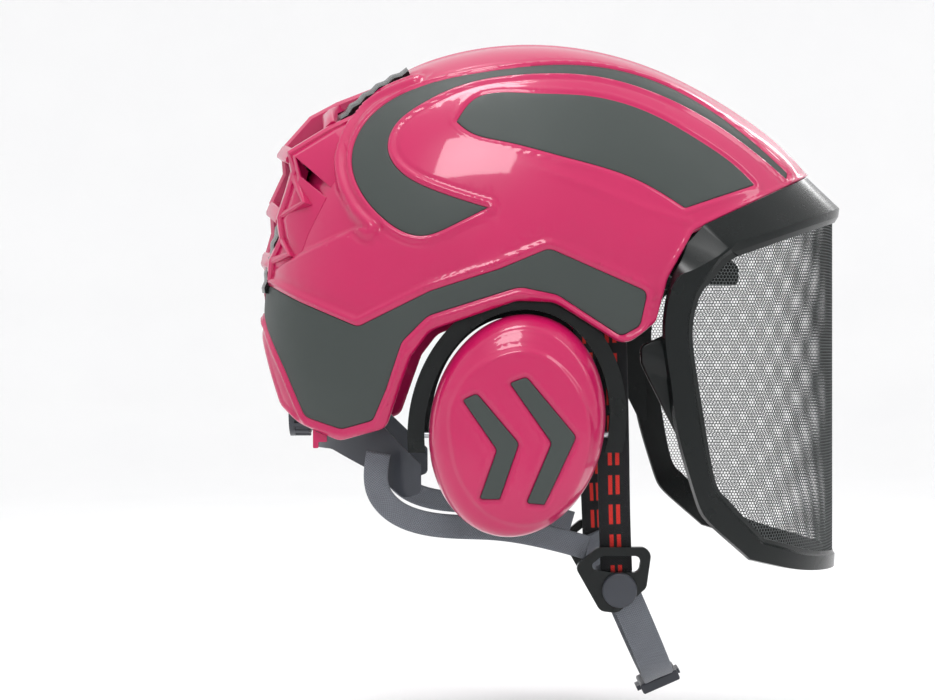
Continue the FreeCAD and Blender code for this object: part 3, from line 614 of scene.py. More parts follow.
class Shader:
    """One material, with short calls for the nodes that it is built from."""

    def __init__(self, name, **constants):
        self.material = bpy.data.materials.new(name)
        self.material.use_nodes = True
        self.tree = self.material.node_tree
        self.surface = self.tree.nodes["Principled BSDF"]
        self.place = self.tree.nodes.new("ShaderNodeTexCoord").outputs["Object"]
        for key, value in constants.items():
            self.surface.inputs[key.replace("_", " ")].default_value = value

    def set(self, socket, value):
        if isinstance(value, bpy.types.NodeSocket):
            self.tree.links.new(value, socket)
        else:
            socket.default_value = value

    def put(self, name, value):
        self.set(self.surface.inputs[name], value)

    def node(self, kind, inputs, **settings):
        """A node of the given kind, with values or links on its inputs."""
        n = self.tree.nodes.new("ShaderNode" + kind)
        for key, value in settings.items():
            setattr(n, key, value)
        for key, value in inputs.items():
            self.set(n.inputs[key], value)
        return n

    def noise(self, scale, detail=2.0, stretch=None):
        """Noise from 0 to 1 with scale features per metre."""
        place = self.place
        if stretch:
            place = self.node("Mapping", {"Vector": place, "Scale": stretch}).outputs["Vector"]
        return self.node("TexNoise", {"Vector": place, "Scale": scale, "Detail": detail}).outputs["Fac"]

    def cells(self, scale, **settings):
        """Distance within the rounded cells of a Voronoi pattern."""
        return self.node("TexVoronoi", {"Vector": self.place, "Scale": scale}, **settings).outputs["Distance"]

    def remap(self, value, low, high, to_low=0.0, to_high=1.0):
        inputs = {"Value": value, "From Min": low, "From Max": high, "To Min": to_low, "To Max": to_high}
        return self.node("MapRange", inputs).outputs["Result"]

    def maths(self, operation, a, b=0.0):
        return self.node("Math", {0: a, 1: b}, operation=operation).outputs[0]

    def mix(self, factor, a, b):
        return self.node("Mix", {0: factor, 6: a, 7: b}, data_type="RGBA").outputs[2]

    def edges(self, low, high, amount):
        """Rises to amount along convex edges."""
        return self.remap(self.node("NewGeometry", {}).outputs["Pointiness"], low, high, 0.0, amount)

    def bump(self, height, distance, strength=1.0, under=None):
        inputs = {"Height": height, "Distance": distance, "Strength": strength}
        if under is not None:
            inputs["Normal"] = under
        return self.node("Bump", inputs).outputs["Normal"]

    def woven(self):
        """Along and across of a strap, in millimetres, as stored on its mesh."""
        source = self.node("Attribute", {}, attribute_name="strap").outputs["Vector"]
        parts = self.node("SeparateXYZ", {"Vector": source}).outputs
        return parts["X"], parts["Y"]


def moulded(name, colour, roughness, grain, depth, wear=0.2, scuffs=0.1, spread=0.06, **constants):
    """Moulded plastic: slow shade changes, fine grain, hairline scratches and lighter worn edges."""
    s = Shader(name, **constants)
    broad = s.remap(s.noise(16, 3), 0.15, 0.85)
    shade = s.mix(broad, scaled(colour, 0.93), scaled(colour, 1.05))
    shade = s.mix(s.edges(0.54, 0.62, wear), shade, scaled(colour, 1.9))
    scratch = s.remap(s.noise(420, 2, (1.0, 7.0, 0.6)), 0.68, 0.78)
    s.put("Base Color", s.mix(s.maths("MULTIPLY", scratch, scuffs), shade, scaled(colour, 1.6)))
    rough = s.remap(s.noise(60, 3), 0.15, 0.85, roughness - spread / 2, roughness + spread)
    s.put("Roughness", s.maths("ADD", rough, s.maths("MULTIPLY", scratch, scuffs * 0.6)))
    s.put("Normal", s.bump(s.noise(grain, 2), depth))
    return s.material


def webbing(name, colour, mark=None):
    """Woven strap: ribs across, columns along, and a woven dash where mark is given."""
    s = Shader(name, Sheen_Weight=0.25, Sheen_Roughness=0.4, Specular_IOR_Level=0.25)
    along, across = s.woven()
    ribs = s.maths("SINE", s.maths("MULTIPLY", along, 2 * math.pi / 1.25))
    columns = s.maths("SINE", s.maths("MULTIPLY", across, 2 * math.pi / 1.5))
    cross = s.maths("MULTIPLY", ribs, columns)
    fuzz = s.noise(2500, 2)
    height = s.maths("ADD", s.maths("MULTIPLY", cross, 0.5), s.maths("MULTIPLY", fuzz, 0.9))
    # painted shade in the dips of the weave and painted light on its tops, from the same height as the bump
    shade = s.mix(s.remap(height, -0.1, 1.0), scaled(colour, 0.5), scaled(colour, 1.35))
    shade = s.mix(s.remap(s.noise(55, 2), 0.4, 0.7, 0.0, 0.5), shade, scaled(colour, 0.8))
    if mark:
        beat = s.maths("PINGPONG", along, 8.0)
        dash = s.remap(beat, 2.6, 2.9)
        width = s.maths("ABSOLUTE", s.maths("SUBTRACT", s.maths("ABSOLUTE", across), 1.9))
        line = s.remap(width, 0.9, 1.15, 1.0, 0.0)
        thread = s.remap(height, -0.3, 0.5, 0.75, 1.0)
        factor = s.maths("MULTIPLY", s.maths("MULTIPLY", dash, line), thread)
        shade = s.mix(factor, shade, mark)
    s.put("Base Color", shade)
    s.put("Roughness", s.remap(fuzz, 0.2, 0.8, 0.7, 0.92))
    s.put("Normal", s.bump(height, 0.00022, 0.9))
    return s.material


def textile(name, colour, loop):
    """Knitted or brushed padding cover."""
    s = Shader(name, Sheen_Weight=0.5, Sheen_Roughness=0.5, Specular_IOR_Level=0.2)
    depth = s.cells(loop)
    # painted shade between the knit loops: darker towards the edges of the same cells that drive the bump
    shade = s.mix(s.remap(depth, 0.1, 0.7), scaled(colour, 1.35), scaled(colour, 0.45))
    s.put("Base Color", s.mix(s.remap(s.noise(40, 2), 0.4, 0.7, 0, 0.4), shade, scaled(colour, 0.75)))
    s.put("Roughness", s.remap(s.noise(900, 2), 0.3, 0.7, 0.82, 0.98))
    s.put("Normal", s.bump(depth, 0.0005, 0.8))
    return s.material


def vinyl(name, colour):
    """Soft cushion skin with a leather-like grain."""
    s = Shader(name, Specular_IOR_Level=0.4)
    pebbles = s.remap(s.cells(750, feature="DISTANCE_TO_EDGE"), 0.0, 0.25)
    # painted shade in the grooves of the grain: darker along the cell edges, where the bump sinks
    s.put("Base Color", s.mix(pebbles, scaled(colour, 0.7), scaled(colour, 1.1)))
    s.put("Roughness", s.remap(s.noise(120, 3), 0.3, 0.7, 0.42, 0.6))
    s.put("Normal", s.bump(pebbles, 0.00012, 0.8, s.bump(s.noise(90, 3), 0.0006)))
    return s.material


def beaded_foam(name, colour):
    """Expanded foam: rounded cells a few millimetres across."""
    s = Shader(name, Specular_IOR_Level=0.25)
    depth = s.cells(330)
    # painted shade between the beads: darker towards the cell edges, where the bump sinks
    s.put("Base Color", s.mix(s.remap(depth, 0.2, 0.75), scaled(colour, 1.2), scaled(colour, 0.55)))
    s.put("Roughness", s.remap(s.noise(500, 2), 0.3, 0.7, 0.78, 0.95))
    s.put("Normal", s.bump(depth, 0.0006, -0.7))
    return s.material


def metal(name, colour, roughness):
    s = Shader(name, Metallic=1.0)
    streak = s.noise(900, 2, (1.0, 12.0, 1.0))
    s.put("Base Color", s.mix(s.remap(streak, 0.3, 0.7), scaled(colour, 0.8), colour))
    s.put("Roughness", s.remap(streak, 0.3, 0.7, roughness, roughness + 0.15))
    s.put("Normal", s.bump(streak, 0.00002))
    return s.material


PINK = linear(182, 16, 82)
INK = linear(60, 66, 64)
MATERIALS = {
    "pink_shell": moulded("pink_shell", PINK, 0.3, 900, 0.00001, 0.0, 0.0, Specular_IOR_Level=0.25,
                          Coat_Weight=0.6, Coat_Roughness=0.05),
    "dark_inlay": moulded("dark_inlay", INK, 0.5, 2600, 0.00002, 0.0, 0.02, Specular_IOR_Level=0.3),
    "black_plastic": moulded("black_plastic", linear(11, 16, 16), 0.24, 2400, 0.00001, 0.08, 0.03,
                             Specular_IOR_Level=0.27),
    "visor_mesh": moulded("visor_mesh", linear(72, 76, 76), 0.5, 3000, 0.00001, 0.1, Metallic=0.35),
    "steel_pin": metal("steel_pin", linear(190, 192, 195), 0.25),
    "liner_foam": beaded_foam("liner_foam", linear(50, 52, 54)),
    "grey_plastic": moulded("grey_plastic", linear(56, 59, 66), 0.36, 2200, 0.00002, 0.2,
                            Specular_IOR_Level=0.4),
    "pad_textile": textile("pad_textile", linear(58, 60, 64), 620),
    "cushion_vinyl": vinyl("cushion_vinyl", linear(28, 29, 31)),
    "grey_webbing": webbing("grey_webbing", linear(112, 116, 123)),
    "black_webbing": webbing("black_webbing", linear(34, 35, 37), linear(215, 52, 46)),
}

SLOTS = {row["node"]: row["material_slot"] for row in frame["record"]["subparts"]}


def dress(obj, slot):
    """Gives the object the slot's material only."""
    obj.data.materials.clear()
    obj.data.materials.append(MATERIALS[slot])


def add_piece(obj, body, *nodes, slot=None):
    """A piece rides on its body, stands for CAD nodes and takes its finish."""
    slot = slot or SLOTS[nodes[0]]
    dress(obj, slot)
    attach(obj, body)
    if nodes:
        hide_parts(*nodes)


def add_both(piece, body, node):
    """A right-hand piece and its left-hand twin; body may name a side with {}."""
    for side, obj in (("left", mirrored(piece, piece.name.replace("right", "left"))), ("right", piece)):
        add_piece(obj, body.format(side), node + "_" + side)


def soften(obj, width, angle):
    """Rounds an object's hard edges and shades it by angle."""
    bevel = obj.modifiers.new("edge_rounding", "BEVEL")
    bevel.width = width * MM
    bevel.segments = 2
    bevel.limit_method = "ANGLE"
    bevel.angle_limit = math.radians(angle)
    bevel.use_clamp_overlap = True
    obj.data.polygons.foreach_set("use_smooth", [True] * len(obj.data.polygons))
    obj.data.set_sharp_from_angle(angle=math.radians(angle + 12))


# ---------------------------------------------------------------- visor
VISOR_X = 85.0
VISOR_LONG = 106.0
VISOR_HALF = 103.0
BROW_REACH = 93.0
# stations of the visor's frame on the right half, from the middle of the brow to the middle of
# the lower edge: outer edge, ridge between face and lip, and edge of the mesh, each as x, z
BROW_STATIONS = [
    ((178, 50.5), (195, 33.4), (193, 25.5)),
    ((163, 43.6), (179, 27.6), (178, 20.5)),
    ((109.8, 18.9), (124.4, 8.9), (126.3, 2.6)),
]
SIDE_STATIONS = [
    ((108.9, 18.2), (125.2, 2.2)), ((100.6, 9.2), (119.8, -1.0)),
    ((96.2, -0.8), (109, -13.5)), ((91.0, -10.5), (105, -20.5)),
    ((86.9, -34.8), (102.2, -36)), ((89.9, -61.3), (104.8, -60)), ((93.2, -85.2), (108.9, -85)),
    ((100.7, -112.3), (114, -111)), ((105.1, -125.5), (119.5, -119.5)), ((112.2, -134.6), (127, -127.5)),
    ((131.9, -151.9), (140.5, -141.2)), ((147.7, -156.2), (155.9, -145.9)),
    ((171.8, -161.2), (174, -151)), ((190.5, -164.0), (191, -155.4)),
]
FACET_END = 1
LOWER_CORNER = 10
# rails round the side bar's section: share of the way from the outer edge to the mesh, and offset
# from the visor's oval, from the brow's corner down; the last value holds for the other stations
SIDE_RAILS = [
    ((0.0,), (-7.5, -6.0, -3.2, -1.5, -1.0)),
    ((0.72, 0.72, 0.36, 0.1, 0.07), (4.1, 4.1, 3.9, 3.6, 3.4)),
    ((0.78,), (4.4,)),
    ((0.86,), (2.4,)),
    ((1.0,), (1.0,)),
    ((1.0,), (-1.8,)),
    ((0.05,), (-10.0, -8.5, -5.5, -3.4, -2.6)),
]
END_FADE = (0.75, 0.15)
BROW_STEPS = 14


def oval_angle(x, offset, long_half=VISOR_LONG):
    """Angle round the visor's oval, 0 at the front, of a side-view x."""
    return np.arccos(np.clip((np.asarray(x, float) - VISOR_X) / (long_half + offset), -1, 1))


def on_oval(angle, z, offset):
    """Right-hand points of the visor's upright oval."""
    return np.stack([VISOR_X + (VISOR_LONG + offset) * np.cos(angle),
                     -(VISOR_HALF + offset) * np.sin(angle), z + 0 * angle], -1)


def side_rail(points, offsets):
    """Points along one rail of the frame's side bar, crisp at the facet's end and the lower corner."""
    rows = [(oval_angle(x, offset), z, offset) for (x, z), offset in zip(points, offsets)]
    rows[-1] = (0.0, rows[-1][1], rows[-1][2])
    rows = np.array(rows, float)
    out = []
    for part in (rows[:FACET_END + 1], rows[FACET_END:LOWER_CORNER + 1], rows[LOWER_CORNER:]):
        steps = np.linspace(0, len(part) - 1, 10 * (len(part) - 1) + 1)
        out.append(spline(np.arange(len(part)), part)(steps))
    rail = np.concatenate([out[0], out[1][1:], out[2][1:]])
    return on_oval(rail[:, 0], rail[:, 1], rail[:, 2])


def brow_rail(points, offset, dome_offset=None):
    """Rail of the brow from its middle to its corner; on the dome where dome_offset is given."""
    reach = BROW_REACH if dome_offset is not None else VISOR_LONG + offset
    out = []
    for k in range(len(points) - 1):
        (xa, za), (xb, zb) = points[k], points[k + 1]
        a = math.acos(min(1.0, (xa - VISOR_X) / reach)) if k else 0.0
        b = math.acos(min(1.0, (xb - VISOR_X) / reach))
        angle = a + (b - a) * np.arange(BROW_STEPS) / BROW_STEPS
        if k == len(points) - 2:
            angle = np.append(angle, b)
        x = VISOR_X + reach * np.cos(angle)
        x_first = VISOR_X + reach * math.cos(a)
        z = za + (zb - za) * np.clip((x - x_first) / (xb - x_first), 0, 1)
        if dome_offset is None:
            y = -(VISOR_HALF + offset) * np.sin(angle)
        else:
            turn, across = dome_angles(x, z)
            y = dome_point(turn, across, dome_offset)[:, 1]
        out.append(np.stack([x, y, z], 1))
    return np.concatenate(out)


def held(values, count):
    """The values, with the last one repeated up to count."""
    return list(values) + [values[-1]] * (count - len(values))


def frame_rails():
    """Rails round the frame's section, each from the brow's middle to the lower middle."""
    outer, ridge, inner = (list(column) for column in zip(*BROW_STATIONS))
    lip = [(x - 1.2, z - 4.6) for x, z in ridge]
    back = [(x + 0.8, z - 3.2) for x, z in outer]
    brow = [
        brow_rail(outer, 0, 1.6), brow_rail(ridge, 4.0), brow_rail(lip, 3.4), brow_rail(inner, 1.4),
        brow_rail([(x, z + 1.0) for x, z in inner], -1.8), brow_rail(back, 0, 0.7),
    ]
    brow.insert(1, brow[0] * 0.94 + brow[1] * 0.06)
    count = len(SIDE_STATIONS)
    side = []
    for shares, offsets in SIDE_RAILS:
        points = [tuple(np.asarray(a) + (np.asarray(b) - a) * share)
                  for (a, b), share in zip(SIDE_STATIONS, held(shares, count))]
        offsets = held(offsets, count)
        for k, fade in zip((count - 2, count - 1), END_FADE):
            offsets[k] = min(offsets[k], offsets[k] * fade)
        side.append(side_rail(points, offsets))
    return [np.concatenate([a, b]) for a, b in zip(brow, side)]


def make_visor_frame():
    """Tube whose section points are the rails; the right half is mirrored to close the loop."""
    half = np.stack(frame_rails(), 1)
    loop = np.concatenate([half, half[1:-1][::-1] * [1, -1, 1]])
    count, around = loop.shape[:2]
    obj = mesh_object("visor_frame_skin", loop.reshape(-1, 3), tube_faces(count, around, closed=True))
    soften(tidy_normals(obj), 0.5, 16)
    return obj


GUSSET = [(91.5, -36, 2), (76, -43, 4), (76.5, -52, 3), (94.5, -88, 2), (99.5, -88, 1), (97, -36, 1)]
GUSSET_OUT = 101.3
GUSSET_IN = 96.0


def make_gusset():
    """Web behind the frame's side bar, with a smooth swelling where the arm passes into it."""
    edge = rounded(GUSSET, 1.5)
    loops = [(edge, True), (shifted(edge, -0.5), True), (shifted(edge, -1.2), True)]
    fill = fill_points(1.6, loops, 0.8, (*edge.min(0), *edge.max(0)))
    flat, tris = triangulate(loops, fill, lambda p: inside(p, edge))
    gap = distance(flat, edge)
    arm = distance(flat, np.array([(70.0, -44.0), (84.0, -47.0), (97.0, -52.0)]), closed=False)
    swell = 2.6 * np.sqrt(np.clip(1 - (arm / 8.0) ** 2, 0, 1))
    depth = 2.2 - swell + 1.0 * (1 - np.sqrt(1 - (1 - np.clip(gap / 1.2, 0, 1)) ** 2))
    outer = np.stack([flat[:, 0], -(GUSSET_OUT - depth), flat[:, 1]], 1)
    inner = np.stack([flat[:, 0], -(GUSSET_IN + 0 * gap), flat[:, 1]], 1)
    return doubled("visor_gusset_right", outer, inner, tris)


MESH_PITCH = 1.84
STRUT = 0.38
STRUT_FRONT = 0.2
STRUT_BACK = -0.22
HOLE_EDGE = 0.16
ARC_STEPS = 400


def make_visor_mesh():
    """Hexagonal mesh that lies inside the frame's edge, in a right and a left piece."""
    turn = np.linspace(0, math.pi, ARC_STEPS)
    run = np.hypot(VISOR_LONG * np.sin(turn), VISOR_HALF * np.cos(turn))
    arc = np.concatenate([[0], np.cumsum((run[1:] + run[:-1]) / 2 * np.diff(turn))])
    inner = frame_rails()[4]
    angle = np.arctan2(-inner[:, 1] / VISOR_HALF, (inner[:, 0] - VISOR_X) / VISOR_LONG)
    half = np.stack([-np.interp(angle, turn, arc), inner[:, 2]], 1)
    edge = np.concatenate([half, half[1:-1][::-1] * [-1, 1]])
    size = MESH_PITCH / math.sqrt(3)
    columns = int(arc[-1] / MESH_PITCH) + 2
    rows = range(int(-175 / (1.5 * size)), int(35 / (1.5 * size)))
    cells = [(2 * i + (j % 2), j) for j in rows for i in range(-columns, columns)]
    place = np.array([(c * MESH_PITCH / 2, j * 1.5 * size) for c, j in cells])
    near = depth_inside(place, edge) > -2.0
    shift = [(0, 2), (-1, 1), (-1, -1), (0, -2), (1, -1), (1, 1)]
    hole = 1 - STRUT / MESH_PITCH
    made = []
    for side, sign in SIDES:
        front, verts, faces, used = {}, [], [], {}

        def put(u, z, offset):
            a = np.interp(abs(u), arc, turn) * (-1 if u < 0 else 1)
            verts.append((VISOR_X + (VISOR_LONG + offset) * math.cos(a),
                          (VISOR_HALF + offset) * math.sin(a), z))
            return len(verts) - 1

        for (column, row), (u, z), keep in zip(cells, place, near):
            if not keep or (u < 0) != (sign < 0):
                continue
            ring, back, holes = [], [], []
            for du, dz in shift:
                key = (column + du, 3 * row + dz)
                if key not in front:
                    nu, nz = key[0] * MESH_PITCH / 2, key[1] * size / 2
                    front[key] = (put(nu, nz, STRUT_FRONT), put(nu, nz, STRUT_BACK))
                ring.append(front[key][0])
                back.append(front[key][1])
                holes.append(put(u + du * MESH_PITCH / 2 * hole, z + dz * size / 2 * hole, HOLE_EDGE))
            for k in range(6):
                m = (k + 1) % 6
                faces.append((ring[k], ring[m], holes[m], holes[k]))
                faces.append((holes[k], holes[m], back[m], back[k]))
                used[(ring[k], ring[m])] = (back[k], back[m])
        for (a, b), (c, d) in used.items():
            if (b, a) not in used:
                faces.append((b, a, c, d))
        made.append(mesh_object("visor_mesh_skin_" + side, verts, faces, smooth=False))
    return made


# ---------------------------------------------------------------- ear cups
CUP_X = 14.0
CUP_Z = -83.0
CUP_HALF = np.array([44.0, 56.5])
CUP_MEAN = 50.0
CUP_TILT = math.radians(11)
CUP_BACK_Y = 99.0
CUP_DEPTH = 26.4
CUP_WALL = 2.6
PLATEAU = [
    (-33.4, 12), (-34.5, 3), (-33.4, -8), (-31, -20), (-25.3, -31.6), (-17, -41.5), (-6, -47.2), (8, -48.2),
    (20, -43), (30, -30), (35.5, -12), (35.5, 4), (31, 16), (23.5, 27), (14, 35), (3.5, 38.5), (-7, 37),
    (-18, 32), (-27, 23.5), (-33.4, 12),
]
TOP_ARC = [(-22, 38), (-11.5, 45), (3.5, 48.8), (16.2, 45), (26, 37), (34, 25), (38.5, 12)]
CHEVRONS = [
    [(-13.7, -69.5, 1.2), (-6.4, -66, 2.5), (14.4, -90.7, 3), (4.9, -118.4, 1.2), (-5.4, -118.4, 1.2),
     (3.2, -94, 3)],
    [(9.3, -61.1, 1.2), (18, -58, 2.5), (42.6, -87.6, 3), (26.9, -121.3, 1.2), (17.6, -120.3, 1.2),
     (30, -90.6, 3)],
]
section_turn = np.linspace(0, math.pi / 2, 400)
SECTION_OUT = np.sin(section_turn) ** (2 / 4.5)
SECTION_UP = np.cos(section_turn) ** (2 / 2.4)
SECTION_ALONG = length_along(np.stack([CUP_MEAN * SECTION_OUT, CUP_DEPTH * SECTION_UP], 1)) / CUP_MEAN


def cup_local(points):
    """Side-view x, z as across and along the tilted cup."""
    p = np.asarray(points, float) - [CUP_X, CUP_Z]
    c, s = math.cos(CUP_TILT), math.sin(CUP_TILT)
    return np.stack([p[:, 0] * c - p[:, 1] * s, p[:, 0] * s + p[:, 1] * c], 1)


def cup_world(local, y):
    """Points in the helmet's frame of points across and along the tilted cup."""
    c, s = math.cos(CUP_TILT), math.sin(CUP_TILT)
    return np.stack([CUP_X + local[:, 0] * c + local[:, 1] * s, y,
                     CUP_Z - local[:, 0] * s + local[:, 1] * c], 1)


def cup_to_plane(local):
    """Cup points spread out flat, so that its steep side gets its share of triangles."""
    reach = np.maximum(np.linalg.norm(local / CUP_HALF, axis=1), 1e-6)
    return local * (np.interp(reach, SECTION_OUT, SECTION_ALONG) / reach)[:, None]


def cup_from_plane(flat):
    """Across and along of plane points, and their height over the back as a share of the depth."""
    along = np.maximum(np.linalg.norm(flat / CUP_HALF, axis=1), 1e-6)
    reach = np.interp(along, SECTION_ALONG, SECTION_OUT)
    return flat * (reach / along)[:, None], np.interp(along, SECTION_ALONG, SECTION_UP)


plateau_line = cup_local(smooth_path(PLATEAU, 1.5)[:-1] + [CUP_X, CUP_Z])
top_arc_line = cup_local(smooth_path(TOP_ARC, 1.5) + [CUP_X, CUP_Z])
chevron_lines = [cup_local(rounded(outline, 1.2)) for outline in CHEVRONS]


def plateau_height(local):
    """Height of the cup's raised middle, and the depth inside its edge."""
    depth = depth_inside(local, plateau_line)
    return 1.5 * step_up(depth, -1.6, 1.2), depth


def cup_relief(local):
    """Height of the cup's surface over its plain dome."""
    height, depth = plateau_height(local)
    height += 0.3 * bump(depth, 1.6, 1.8)
    height += 0.8 * bump(distance(local, top_arc_line, closed=False), 0.0, 2.6)
    for line in chevron_lines:
        gap = -depth_inside(local, line)
        height += 0.45 * bump(gap, 2.6, 2.0) - 0.6 * bump(gap, 0.5, 1.1)
        height = np.where(gap < -0.1, height - 0.9, height)
    return height


def make_cup_cover():
    turn = np.linspace(0, 2 * math.pi, 240, endpoint=False)
    ring = np.stack([np.cos(turn), np.sin(turn)], 1) * CUP_HALF
    loops = [(ring * SECTION_ALONG[-1] * share, True) for share in (1.0, 0.985, 0.96)]
    for line in chevron_lines:
        for amount in (1.6, 0.8, 0.2, -0.15):
            loops.append((cup_to_plane(shifted(line, amount)), True))
    for amount in (1.6, 0.6, -0.4, -1.4):
        loops.append((cup_to_plane(shifted(plateau_line, amount)), True))
    reach = CUP_HALF * SECTION_ALONG[-1]
    fill = fill_points(2.1, loops, 1.0, (*-reach, *reach))
    limit = SECTION_ALONG[-1] * 0.9999
    flat, tris = triangulate(loops, fill, lambda p: np.linalg.norm(p / CUP_HALF, axis=1) < limit)
    local, up = cup_from_plane(flat)
    height = cup_relief(local) * step_up(up, 0.05, 0.5)
    outer = cup_world(local, -(CUP_BACK_Y + CUP_DEPTH * up + height))
    hollow = CUP_BACK_Y + np.maximum((CUP_DEPTH - CUP_WALL) * up, 0)
    inner = cup_world(local * (1 - CUP_WALL / CUP_MEAN), -hollow)
    return doubled("cup_cover_skin_right", outer, inner, tris)


def make_chevrons():
    """Two flat chevrons in their pockets on the cup, with rounded edges."""
    verts, faces = [], []
    for line in chevron_lines:
        loops = [(shifted(line, amount), True) for amount in (-0.25, -0.7, -1.4)]
        fill = fill_points(2.4, loops, 1.0, (*line.min(0), *line.max(0)))
        edge = shifted(line, -0.25)
        flat, tris = triangulate(loops, fill, lambda p: inside(p, edge))
        up = cup_from_plane(cup_to_plane(flat))[1]
        base = CUP_BACK_Y + CUP_DEPTH * up + plateau_height(flat)[0]
        depth = np.clip(distance(flat, edge) / 0.9, 0, 1)
        outer = cup_world(flat, -(base + 0.15 - 0.5 * (1 - np.sqrt(1 - (1 - depth) ** 2))))
        inner = cup_world(flat, -(base - 0.7))
        start = len(verts)
        verts += list(outer) + list(inner)
        count = len(outer)
        faces += [tuple(start + i for i in t) for t in tris]
        faces += [(start + a + count, start + c + count, start + b + count) for a, b, c in tris]
        faces += [(start + b, start + a, start + a + count, start + b + count) for a, b in boundary(tris)]
    return tidy_normals(mesh_object("cup_chevrons_skin_right", verts, faces))


def make_cup_cushion():
    """Soft ring cushion: rounded section, a seam round its outside and faint wrinkles."""
    middle, half_wide, low_y, high_y = -15.0, 9.0, 81.5, 92.0
    turns, around = 200, 36
    verts = []
    for a in (2 * math.pi * i / turns for i in range(turns)):
        here = CUP_HALF * [math.cos(a), math.sin(a)]
        out = unit(np.array([math.cos(a), math.sin(a)]) / CUP_HALF)
        for b in (2 * math.pi * k / around for k in range(around)):
            c, s = math.cos(b), math.sin(b)
            wrinkle = noise.noise(Vector((math.cos(a) * 9, math.sin(a) * 9, b * 1.2))) * 0.35
            seam = -0.55 * math.exp(-((b - 0.35) / 0.09) ** 2)
            reach = half_wide * math.copysign(abs(c) ** 0.72, c) * (1 + (wrinkle + seam) / half_wide)
            depth = (high_y - low_y) / 2 * math.copysign(abs(s) ** 0.8, s)
            local = here + out * (middle + reach)
            verts.append(cup_world(local[None], -np.array([(low_y + high_y) / 2 + depth + wrinkle * 0.3]))[0])
    return tidy_normals(mesh_object("cup_cushion_skin_right", verts, tube_faces(turns, around, closed=True)))


# ---------------------------------------------------------------- webbing
DIVIDER = np.array([66.5, -70.0, -162.0])
CHIN = np.array([94.0, 0.0, -225.0])
FRONT_TOP = np.array([61.5, -90.0, -28.0])
REAR_PATH = [(-57, -98), (-57, -118), (-49.5, -127.5), (-37, -133.5), (-17, -136.5), (3, -137.5), (52, -148)]
REAR_YAW = math.radians(4.6)
REAR_TURN = (-38.0, -77.0)
WEB_WIDTH = 16.5
WEB_WALL = 1.6
REAR_WEB = 12.5
# half of a strap's upper face: share of the half width, share of the half thickness
STRAP_HALF = [(0, 0.84), (0.3, 0.86), (0.6, 0.9), (0.88, 1.0), (0.97, 0.7), (1, 0.25)]
CROWN_WIDTH = 20.0
CROWN_WALL = 1.5
CROWN_BASE = 30.0
CROWN_STRAPS = (("crown_strap_long", 89.0, 88.0, True), ("crown_strap_cross", 74.0, 91.5, False))
PAD_WALL = 5.0
PAD_CORNER = 6.0
# oval the pad lies on, its ends in degrees round the oval, its lowest and highest z, sewn channels
PADS = {
    "brow_pad": ("helmet", (91.0, 74.0), (-54.5, 54.5), (-5.6, 23.0), 7),
    "nape_pad": ("nape", (94.0, 80.0), (138.5, 221.5), (-93.0, -64.5), 5),
}
FOAM_LOW_Y = 92.6
FOAM_HIGH_Y = 106.8


def strap_mesh(name, centre, across, width, wall):
    """Flat strap along centre with rounded selvedges; across is its width direction."""
    run = unit(np.gradient(centre, axis=0))
    across = unit(across - run * (across * run).sum(1)[:, None])
    through = np.cross(run, across)
    along = length_along(centre)
    half = width / 2
    section = [(-s, t) for s, t in reversed(STRAP_HALF[1:])] + STRAP_HALF
    section += [(s, -t) for s, t in reversed(section)]
    verts, marks = [], []
    for i, place in enumerate(centre):
        for s, t in section:
            ripple = 0.12 * noise.noise(Vector((along[i] * 0.16, s * 1.3, width)))
            verts.append(place + across[i] * s * half + through[i] * (t * wall / 2 + ripple))
            marks.append((along[i], s * half, 0.0))
    obj = mesh_object(name, verts, tube_faces(len(centre), len(section)))
    attribute = obj.data.attributes.new("strap", "FLOAT_VECTOR", "POINT")
    attribute.data.foreach_set("vector", np.array(marks, np.float32).ravel())
    return tidy_normals(obj)


def leaning_strap(name, top, bottom, upper, lower, crosses=False):
    """Strap in a plane that leans forward from top to bottom. Upper points are y and height from the
    top, lower ones from the bottom; a strap that crosses goes on to the other side of the head."""
    run = bottom - top
    length, lean = math.hypot(run[0], run[2]), math.atan2(run[0], -run[2])
    points = upper + [(y, z - length) for y, z in lower]
    if crosses:
        points += [(-y, z) for y, z in reversed(points[:-1])]
    p = smooth_path(points, 1.6)
    path = np.stack([top[0] - p[:, 1] * math.sin(lean), p[:, 0], top[2] + p[:, 1] * math.cos(lean)], 1)
    across = np.tile([math.cos(lean), 0, math.sin(lean)], (len(path), 1))
    return strap_mesh(name, path, across, WEB_WIDTH, WEB_WALL)


def make_front_strap():
    upper = [(FRONT_TOP[1], 0), (-87.5, -30), (-79, -75)]
    lower = [(-72, 30), (DIVIDER[1] - 1.4, 2)]
    return leaning_strap("front_strap_skin_right", FRONT_TOP, DIVIDER, upper, lower)


def make_chin_strap():
    upper = [(-69, 8), (-69, -12), (-65.5, -30)]
    lower = [(-50, 12), (-26, 2), (0, 0)]
    return leaning_strap("chin_strap_skin", DIVIDER, CHIN, upper, lower, crosses=True)


def make_rear_strap():
    p = smooth_path(REAR_PATH, 1.4)
    c, s = math.cos(REAR_YAW), math.sin(REAR_YAW)
    turned = p[:, 0] - REAR_TURN[0]
    path = np.stack([turned * c + REAR_TURN[0], REAR_TURN[1] + turned * s, p[:, 1]], 1)
    run = np.gradient(path, axis=0)
    across = np.cross(run, [-s, c, 0])
    return strap_mesh("rear_strap_skin_right", path, across, REAR_WEB, WEB_WALL)


